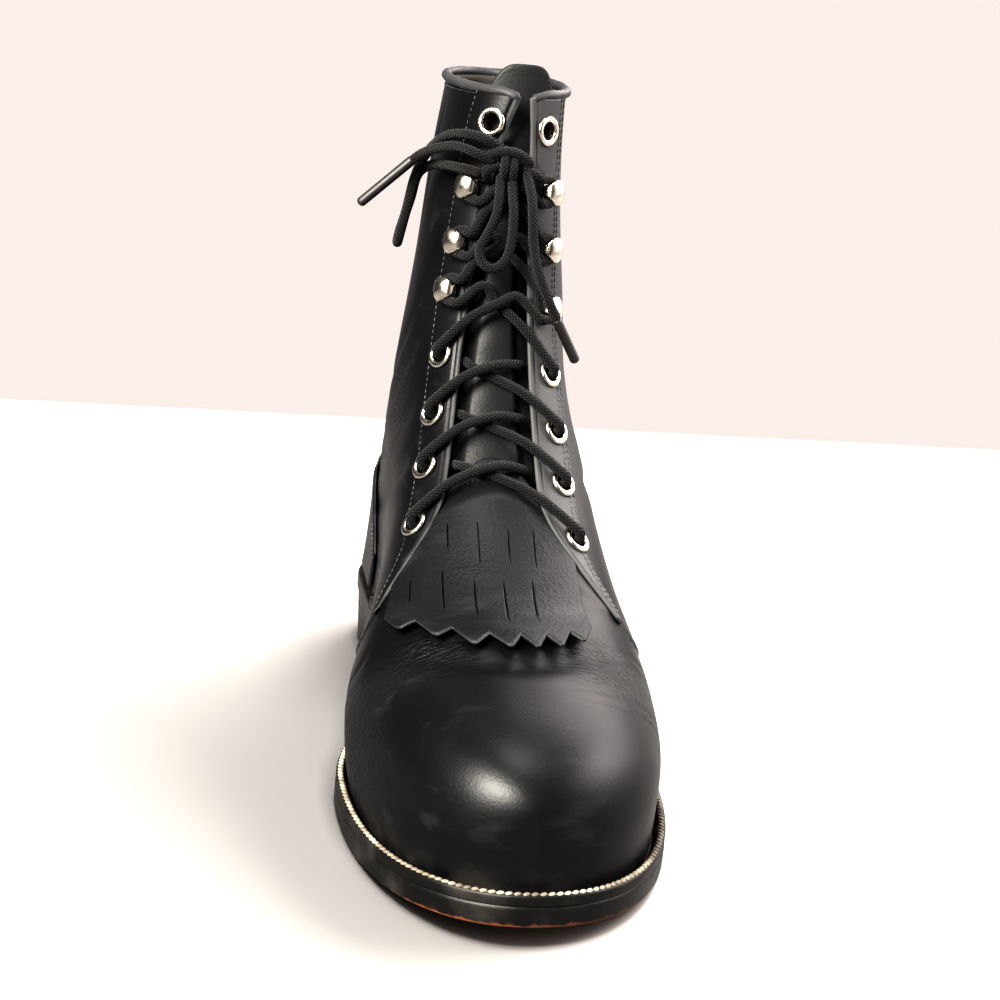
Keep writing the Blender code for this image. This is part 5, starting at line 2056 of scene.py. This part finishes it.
@dataclass
class Hardware:
    """Eyelets and speed hooks, each kind set on its places by a tree."""

    facing: Facing
    palette: Palette
    tree: TreeMaker = field(default_factory=place_tree)
    outer: float = 5.5
    bore: float = 3.2
    barrel: float = 3.6
    hole: float = 3.75
    hole_sides: int = 20
    hole_reach: float = 4.5
    foot: float = -1.6
    gap: float = 0.3
    sides: int = 32

    def cutter(self) -> Object:
        """Cylinders of the eyelet holes.

        Returns:
            The cutter.
        """
        rings, faces = [], []
        angle = circle(self.hole_sides)[:, None]
        for row in LACE_ROWS:
            for side in Side if row.holder is Holder.EYELET else ():
                origin, normal, up, _ = self.facing.place(row, side)
                ring = (np.cos(angle) * np.cross(up, normal) + np.sin(angle) * up) * self.hole
                faces += tube_faces(2, self.hole_sides, self.hole_sides * len(rings))
                rings += [origin + ring - normal * self.hole_reach, origin + ring + normal * self.hole_reach]
        return make_piece("eyelet_drill", np.concatenate(rings), faces, [], weld=0.0001)

    def eyelet_form(self) -> Object:
        """Rolled flange and barrel of an eyelet, turned round its axis.

        Returns:
            One eyelet at the origin.
        """
        low = self.facing.top + self.gap
        roll = 0.5 * (self.outer - self.bore)
        turn = np.linspace(-0.15 * math.pi, 1.0 * math.pi, 16)
        ring = [(self.bore + roll + roll * math.cos(a), low + 0.25 + 0.95 * math.sin(a)) for a in turn]
        profile = [(self.barrel, self.foot), (self.barrel, low)] + ring
        profile += [(self.bore, low - 0.4), (self.bore, self.foot)]
        angles = circle(self.sides)
        rings = [[(r * math.cos(a), r * math.sin(a), z) for a in angles] for r, z in profile + profile[:1]]
        points = np.array(rings).reshape(-1, 3)
        return make_piece("eyelet_form", points, grid_faces(len(rings), self.sides, True), [], weld=0.001)

    def hook_form(self) -> Object:
        """Speed hook bent from one strip: base, neck beside the throat and domed cap.

        Returns:
            One hook at the origin.
        """
        low = self.facing.top + self.gap
        path = np.array([
            (3.7, 0.5, 3.0), (2.4, 0.5, 5.6), (0.0, 0.5, 7.0), (-2.4, 0.5, 6.0), (-3.8, 0.85, 4.6),
            (-4.6, 2.0, 4.2), (-4.7, 3.5, 4.8), (-4.0, 5.0, 6.4), (-2.4, 5.9, 8.2), (-0.4, 6.2, 9.2),
            (1.4, 5.9, 9.0), (2.6, 5.2, 7.2), (3.2, 4.6, 4.2),
        ])
        fine = smooth_route(path, 0.42)
        count = len(fine)
        across = np.linspace(-1.0, 1.0, 11)
        run = unit(np.gradient(fine[:, :2], axis=0))
        face = np.stack([-run[:, 1], run[:, 0]], axis=1)
        share = np.linspace(0.0, 1.0, count)
        dome = 1.0 * ease((share - 0.48) / 0.2)
        half = 0.5 * fine[:, 2:]
        q = np.append(across, across[::-1])
        thick = 0.42 * np.sqrt(np.maximum(1.0 - q ** 6, 0.02)) * np.repeat((1.0, -1.0), len(across))
        sink = dome[:, None] * (half / 4.3) ** 2 * q * q
        z = low + fine[:, 1:2] + face[:, 1:] * thick - sink
        points = np.stack([fine[:, :1] + face[:, :1] * thick, q * half, z], axis=2).reshape(-1, 3)
        return make_piece("hook_form", points, tube_faces(count, len(q)), [], weld=0.001)

    def set_out(self, holder: Holder, form: Object) -> None:
        """Set one kind of holder on its places.

        Args:
            holder: Kind of holder.
            form: One holder at the origin, standing along Z with X away from the throat.
        """
        points, out, up, nodes = [], [], [], []
        for i, row in enumerate(LACE_ROWS):
            for side in Side if row.holder is holder else ():
                origin, normal, _, away = self.facing.place(row, side)
                points.append(origin)
                out.append(normal)
                up.append(np.cross(normal, away))
                nodes.append("%s_%s_%d" % (holder.value, side.word, i + 1))
        values = {"Form": form, "Material": self.palette.nickel}
        piece = self.tree.run(holder.value + "s", np.array(points), [], {"out": out, "up": up}, values)
        discard(form)
        hand_over(piece, "nickel", *nodes)

    def build(self) -> None:
        """Make the eyelets and the hooks."""
        self.set_out(Holder.EYELET, self.eyelet_form())
        self.set_out(Holder.HOOK, self.hook_form())


def smooth_route(route: Sequence, step: float) -> Array:
    """Points at even steps along a smooth curve through route points.

    Args:
        route: Route points.
        step: Distance between the new points.

    Returns:
        The new points.
    """
    route = np.array(route, float)
    ends = np.vstack([2.0 * route[0] - route[1], route, 2.0 * route[-1] - route[-2]])
    t = np.linspace(0.0, 1.0, 24, endpoint=False)[:, None]
    fine = []
    for i in range(1, len(ends) - 2):
        a, b, c, d = ends[i - 1:i + 3]
        value = 2.0 * b + (c - a) * t + (2.0 * a - 5.0 * b + 4.0 * c - d) * t * t
        fine.append(0.5 * (value + (3.0 * b - a - 3.0 * c + d) * t ** 3))
    fine = np.concatenate(fine + [route[-1:]])
    run = run_length(fine)
    return spread(fine, run, max(int(round(run[-1] / step)), 2))


BOW = {
    "lace_end_medial": (
        (-5.7, 39.6, 213.4), (-13.5, 38.5, 216.6), (-19.4, 44.0, 217.8),
        (-25.5, 52.0, 216.0), (-30.0, 58.5, 213.0), (-33.5, 62.0, 209.6),
    ),
    "lace_loop_medial": (
        (-2.6, 40.0, 218.3), (-9.5, 38.6, 221.6), (-16.5, 43.0, 222.6), (-23.0, 54.0, 220.0),
        (-28.0, 65.0, 212.0), (-31.0, 68.0, 203.0), (-33.0, 68.0, 192.0), (-34.6, 68.5, 183.5),
        (-35.2, 69.4, 179.6), (-35.3, 72.0, 177.4), (-34.9, 75.0, 178.6), (-33.9, 76.6, 182.6),
        (-31.0, 76.5, 194.0), (-29.0, 74.0, 204.0), (-24.5, 62.0, 209.0), (-17.5, 46.0, 210.0),
        (-10.2, 39.0, 209.4),
    ),
    "lace_loop_lateral": (
        (-3.0, 39.2, 209.3), (-3.6, 34.8, 202.0), (-4.4, 33.0, 195.0), (-7.0, 33.0, 188.0),
        (-9.4, 33.0, 182.5), (-8.0, 32.0, 177.4), (-3.4, 31.0, 176.0), (0.4, 30.5, 180.0),
        (1.8, 30.5, 187.0), (1.8, 31.5, 196.0), (1.5, 34.8, 202.0), (1.3, 39.2, 209.0),
    ),
    "lace_end_lateral": (
        (6.3, 39.2, 211.4), (8.2, 34.0, 203.0), (9.0, 31.5, 195.0), (10.0, 31.0, 186.0),
        (12.4, 29.5, 176.3), (17.2, 29.5, 166.0), (21.8, 31.0, 157.8),
    ),
}
AGLETS = {
    "aglet_medial": ((-34.3, 62.3, 208.9), (-51.6, 66.0, 191.8)),
    "aglet_lateral": ((22.3, 31.2, 156.9), (31.4, 35.5, 142.0)),
}
KNOT_TURNS = (
    ((-8.5, 40.5, 215.2), (-4.5, 37.2, 217.6), (1.0, 36.4, 217.8), (6.0, 37.8, 215.4), (7.6, 40.8, 211.8),
     (4.4, 42.4, 208.8)),
    ((-1.2, 43.6, 215.6), (-1.6, 39.6, 218.0), (-2.2, 36.4, 214.6), (-2.4, 36.2, 210.6), (-1.8, 39.6, 207.8),
     (-0.8, 43.4, 209.4)),
    ((2.0, 43.6, 215.0), (1.8, 39.6, 217.0), (1.2, 36.6, 213.8), (1.0, 36.4, 210.4), (1.6, 39.8, 207.4),
     (2.2, 43.4, 209.0)),
)


@dataclass
class Lace:
    """Round braided lace: strands through the holders, knot, bow and aglets."""

    facing: Facing
    palette: Palette
    radius: float = 1.85
    step: float = 0.75
    sides: int = 14
    strands: int = 8
    pitch: float = 1.5
    braid_start: Point = (0.0, 1.0, 0.3)
    knot_share: float = 0.97
    hook_lift: float = 3.3
    flange: float = 1.1
    wall: float = 1.8
    over: float = 2.4
    beneath: float = -1.4
    dip: float = -2.3
    on_kiltie: float = 2.6
    fall_medial: float = 0.32
    fall_lateral: float = 0.1

    def tube(self, name: str, routes: Sequence[Array], radius: float, material: Material) -> Object:
        """Round tubes along routes, charted for the braid.

        Args:
            name: Name of the piece.
            routes: Points of each tube, at even steps.
            radius: Radius of the tubes.
            material: Material of the piece.

        Returns:
            The object.
        """
        angle = circle(self.sides)[None, :, None]
        points, faces, chart = [], [], []
        for route in routes:
            count = len(route)
            faces += tube_faces(count, self.sides, sum(len(p) for p in points))
            run = unit(np.gradient(route, axis=0))
            side = np.zeros_like(route)
            ref = np.cross(run[0], self.braid_start)
            for i, d in enumerate(run):
                ref = ref - d * np.dot(ref, d)
                ref = ref / np.linalg.norm(ref)
                side[i] = ref
            size = np.full(count, radius)
            size[[0, -1]] *= 0.55
            size[[1, -2]] *= 0.9
            ring = np.cos(angle) * side[:, None, :] + np.sin(angle) * np.cross(run, side)[:, None, :]
            points.append((route[:, None, :] + ring * size[:, None, None]).reshape(-1, 3))
            i, j = np.divmod(np.arange((count - 1) * self.sides), self.sides)
            across = np.stack([j, j + 1, j + 1, j], axis=1) / self.sides * self.strands
            along = np.stack([i, i, i + 1, i + 1], axis=1) * np.linalg.norm(route[1] - route[0]) / self.pitch
            chart += [np.stack([across, along], axis=2).reshape(-1, 2), np.zeros((2 * self.sides, 2))]
        piece = make_piece(name, np.concatenate(points), faces, [material])
        layer = piece.data.uv_layers.new(name="UVMap")
        layer.data.foreach_set("uv", np.concatenate(chart).astype(np.float32).ravel())
        return piece

    def fall(self, side: Side) -> float:
        """Sections by which a strand dives under the facing below its eyelet."""
        return side.of(self.fall_medial, self.fall_lateral)

    def through_eyelet(self, row: LaceRow, side: Side, first: bool) -> list[Array]:
        """Route under the facing and up through an eyelet.

        Args:
            row: Row of the lacing.
            side: Side of the foot.
            first: True for the lowest eyelet, where the strand starts.

        Returns:
            Route points.
        """
        last, facing = self.facing.last, self.facing
        u = row.u(side)
        edge = float(facing.edge(u, side))
        sign = side.value
        under = -self.wall - self.radius - 0.35
        top = facing.top + 0.3 + self.flange + self.radius + 0.2
        fall = self.fall(side)
        places = [] if first else [(u - fall, edge - 1.5, self.dip)]
        places += [(u - 0.6 * fall, edge + 2.6, under), (u, edge + row.inset - 1.2, under + 0.2),
                   (u, edge + row.inset + 0.5, 0.4), (u + 0.01, edge + row.inset - 0.6, top - 0.5),
                   (u + 0.04, edge + row.inset - 4.2, top - 0.2)]
        return [last.raised(a, sign * s, lift) for a, s, lift in places]

    def round_hook(self, row: LaceRow, side: Side) -> list[Array]:
        """Route round the neck of a hook, under its cap.

        Args:
            row: Row of the lacing.
            side: Side of the foot.

        Returns:
            Route points.
        """
        origin, normal, up, away = self.facing.place(row, side)
        low = self.facing.top + self.hook_lift
        places = (
            (-8.4, -4.6, -0.4), (-4.6, -4.6, 0.0), (-1.4, -3.6, 0.0), (0.3, 0.0, 0.0), (-1.4, 3.6, 0.0),
            (-4.6, 4.4, 0.0), (-8.4, 4.0, -0.2),
        )
        return [origin + away * a + up * b + normal * (low + c) for a, b, c in places]

    def over_throat(self, lower: LaceRow, upper: LaceRow, side: Side) -> list[Array]:
        """Route over the throat between two rows, the medial strand on top.

        Args:
            lower: Row that the strand leaves.
            upper: Row that it goes to, on the other side.
            side: Side that it leaves.

        Returns:
            Route points.
        """
        last = self.facing.last
        u_from, u_to = lower.u(side), upper.u(Side(-side.value))
        if upper.holder is Holder.EYELET:
            u_to -= self.fall(Side(-side.value))
        mid = mix(u_from, u_to, 0.56)
        lift = self.over if side is Side.MEDIAL else self.beneath
        lift += self.on_kiltie if lower is LACE_ROWS[0] else 0.0
        stop = self.dip if upper.holder is Holder.EYELET else 4.4
        reach = float(self.facing.edge(u_from, side))
        far = float(self.facing.edge(u_to, Side(-side.value)))
        places = (
            (mix(u_from, mid, 0.55), side.value * 0.72 * reach, mix(5.0, lift, 0.35)),
            (mid, 0.0, lift),
            (mix(mid, u_to, 0.55), -side.value * 0.56 * far, mix(lift, stop, 0.42)),
        )
        return [last.raised(a, s, b) for a, s, b in places]

    def strand(self, start: Side) -> Array:
        """Whole strand from its lowest eyelet to the knot.

        Args:
            start: Side of its lowest eyelet.

        Returns:
            Points at even steps.
        """
        route = []
        side = start
        for i, row in enumerate(CROSSED_ROWS):
            if row.holder is Holder.EYELET:
                route += self.through_eyelet(row, side, i == 0)
            else:
                route += self.round_hook(row, side)
            if i + 1 < len(CROSSED_ROWS):
                route += self.over_throat(row, CROSSED_ROWS[i + 1], side)
            side = Side(-side.value)
        ends = -side.value
        route += [np.array((ends * 9.0 + 0.5, 38.6, 210.5)), np.array((ends * 3.0, 40.4, 212.6))]
        return smooth_route(route, self.step)

    def build(self) -> None:
        """Make the strands, the knot, the bow and the aglets."""
        nodes = ["lace_crossing_%d" % i for i in range(1, len(CROSSED_ROWS))]
        strands = [self.strand(side) for side in Side]
        hand_over(self.tube("lace_strands", strands, self.radius, self.palette.lace), "lace", *nodes)
        turns = [smooth_route(route, self.step) for route in KNOT_TURNS]
        knot = self.tube("knot_turns", turns, self.radius * self.knot_share, self.palette.lace)
        hand_over(knot, "lace", "lace_knot")
        for name, route in BOW.items():
            points = smooth_route(route, self.step)
            cord = self.tube(name + "_cord", [points], self.radius, self.palette.lace)
            piece = hand_over(cord, "lace", name)
            with_pieces = [self.build_aglet(name.replace("lace_end", "aglet"))] if "end" in name else []

    def build_aglet(self, name: str) -> Object:
        """Make one aglet as a crimped sleeve with a closed tip.

        Args:
            name: Node that it stands for.

        Returns:
            The piece.
        """
        start, stop = (np.array(p) for p in AGLETS[name])
        points = smooth_route((start - 2.4 * unit(stop - start), stop), 0.6)
        piece = self.tube(name + "_sleeve", [points], self.radius, self.palette.aglet)
        return hand_over(piece, "aglet", name)


@dataclass(frozen=True)
class AreaLight:
    """Soft light box that faces a point."""

    name: str
    place: Point
    aim: Point
    size: tuple[float, float]
    power: float
    colour: Point
    flagged: bool = False

    def build(self, floor: Object) -> None:
        """Make the light.

        Args:
            floor: Floor that a flagged light is kept off.
        """
        data = bpy.data.lights.new(self.name, "AREA")
        data.shape = "RECTANGLE"
        data.size, data.size_y = self.size
        data.energy = self.power
        data.color = self.colour
        lamp = show(self.name, data)
        lamp.location = self.place
        lamp.rotation_euler = (Vector(self.aim) - Vector(self.place)).to_track_quat("-Z", "Y").to_euler()
        lamp.visible_camera = False
        if self.flagged:
            kept_off = bpy.data.collections.new(self.name + "_flag")
            kept_off.objects.link(floor)
            kept_off.collection_objects[0].light_linking.link_state = "EXCLUDE"
            lamp.light_linking.receiver_collection = kept_off


@dataclass
class Studio:
    """Floor, lights and camera."""

    eye: Point = (-0.1169, -0.6232, 0.2739)
    yaw: float = 10.69
    pitch: float = 15.62
    roll: float = 5.43
    lens: float = 65.3
    dimmest: float = 0.2
    wall: float = 0.98
    outer_side: float = 2.2
    above: float = 0.5
    wall_colour: Colour = (1.0, 0.938, 0.905, 1.0)
    contrast: float = 0.6
    floor_wide: float = 2500.0
    floor_front: float = -1500.0
    floor_back: float = 520.0
    lights: tuple[AreaLight, ...] = (
        AreaLight("window", (0.88, 0.6, 0.9), (0.0, 0.0, 0.08), (1.5, 0.9), 43.0, (1.0, 0.95, 0.93)),
        AreaLight("lamp", (-0.95, -0.91, 1.0), (0.0, -0.1, 0.05), (0.8, 0.8), 210.0, (1.0, 0.97, 0.90), True),
        AreaLight("ceiling", (0.0, -0.05, 1.6), (0.0, 0.0, 0.0), (0.6, 0.6), 26.0, (1.0, 0.97, 0.93)),
        AreaLight("fill", (1.2, -0.02, 0.78), (0.0, -0.08, 0.06), (0.9, 0.8), 28.0, (1.0, 0.95, 0.93), True),
    )

    def build(self) -> None:
        """Make the stage, the lights and the camera."""
        floor = self.build_floor()
        self.build_world()
        for light in self.lights:
            light.build(floor)
        self.build_camera()

    def build_floor(self) -> Object:
        """Make the pale floor.

        Returns:
            The floor.
        """
        white = PlainFinish("floor_white", (0.60, 0.595, 0.59, 1.0), 0.7, 0.02, 6.0).build()
        wide, front, back = self.floor_wide, self.floor_front, self.floor_back
        corners = np.array([(-wide, front, 0.0), (wide, front, 0.0), (wide, back, 0.0), (-wide, back, 0.0)])
        floor = make_piece("floor", corners, [(0, 1, 2, 3)], [white])
        return floor

    def build_world(self) -> None:
        """Light the room: bright behind and on the outer side, dim on the inner side, walls evenly pale."""
        world = bpy.data.worlds.new("room")
        world.use_nodes = True
        bpy.context.scene.world = world
        room = NodeMaker(world.node_tree)
        way = room.add("ShaderNodeTexCoord").outputs["Generated"]
        parts = room.add("ShaderNodeSeparateXYZ", {0: way}).outputs

        def side(axis: str, low: float, high: float, amount: float) -> NodeSocket:
            """Light of one side of the room."""
            inputs = {0: parts[axis], 1: low, 2: high, 3: self.dimmest, 4: amount}
            return room.add("ShaderNodeMapRange", inputs, interpolation_type="SMOOTHSTEP").outputs[0]

        wall = room.sum("MINIMUM", side("Y", 0.1, 0.6, self.wall), side("X", -0.5, -0.2, self.wall))
        rest = room.sum("MAXIMUM", side("X", 0.3, 0.95, self.outer_side), side("Z", 0.4, 1.0, self.above))
        light = room.sum("MAXIMUM", wall, rest)
        seen = room.add("ShaderNodeLightPath").outputs["Is Camera Ray"]
        shown = room.add("ShaderNodeMapRange", {0: seen, 3: light, 4: self.wall}).outputs[0]
        back = room.tree.nodes["Background"].inputs
        back["Color"].default_value = self.wall_colour
        room.set(back["Strength"], shown)

    def build_camera(self) -> None:
        """Make the camera at the photograph's angle."""
        yaw, pitch, roll = (math.radians(a) for a in (self.yaw, self.pitch, self.roll))
        turns = ((-yaw, "Z"), (math.pi / 2.0 - pitch, "X"), (roll, "Z"))
        data = bpy.data.cameras.new("camera")
        data.lens = self.lens
        data.sensor_width = 36.0
        camera = show("camera", data)
        camera.matrix_world = Matrix.Translation(self.eye)
        for angle, axis in turns:
            camera.matrix_world = camera.matrix_world @ Matrix.Rotation(angle, 4, axis)
        bpy.context.scene.camera = camera
        tone = bpy.context.scene.view_settings
        tone.view_transform = "Standard"
        tone.gamma = self.contrast


def main() -> None:
    """Load the frame and dress the boot."""
    logging.basicConfig(level=logging.INFO, format="%(name)s: %(message)s")
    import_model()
    Studio().build()
    sole = SoleShape()
    last = Last(sole)
    facing = Facing(last)
    palette = Palette()
    sewing = Sewing(last, palette)
    Lace(facing, palette).build()
    hardware = Hardware(facing, palette)
    drill = hardware.cutter()
    upper = Upper(last, facing, palette, sewing)
    upper.build(drill)
    upper.sew()
    facings = Facings(facing, palette, sewing)
    for side in Side:
        facings.build(side, drill)
    discard(drill)
    hardware.build()
    Tongue(facing, palette).build()
    Kiltie(facing, palette).build()
    HeelCounter(last, palette, sewing).build()
    CollarBinding(last, palette).build()
    unit_of_sole = SoleUnit(sole, palette, sewing)
    unit_of_sole.build_outsole()
    unit_of_sole.build_heel()
    unit_of_sole.build_insole()
    unit_of_sole.build_welt()


if __name__ == "__main__":
    main()
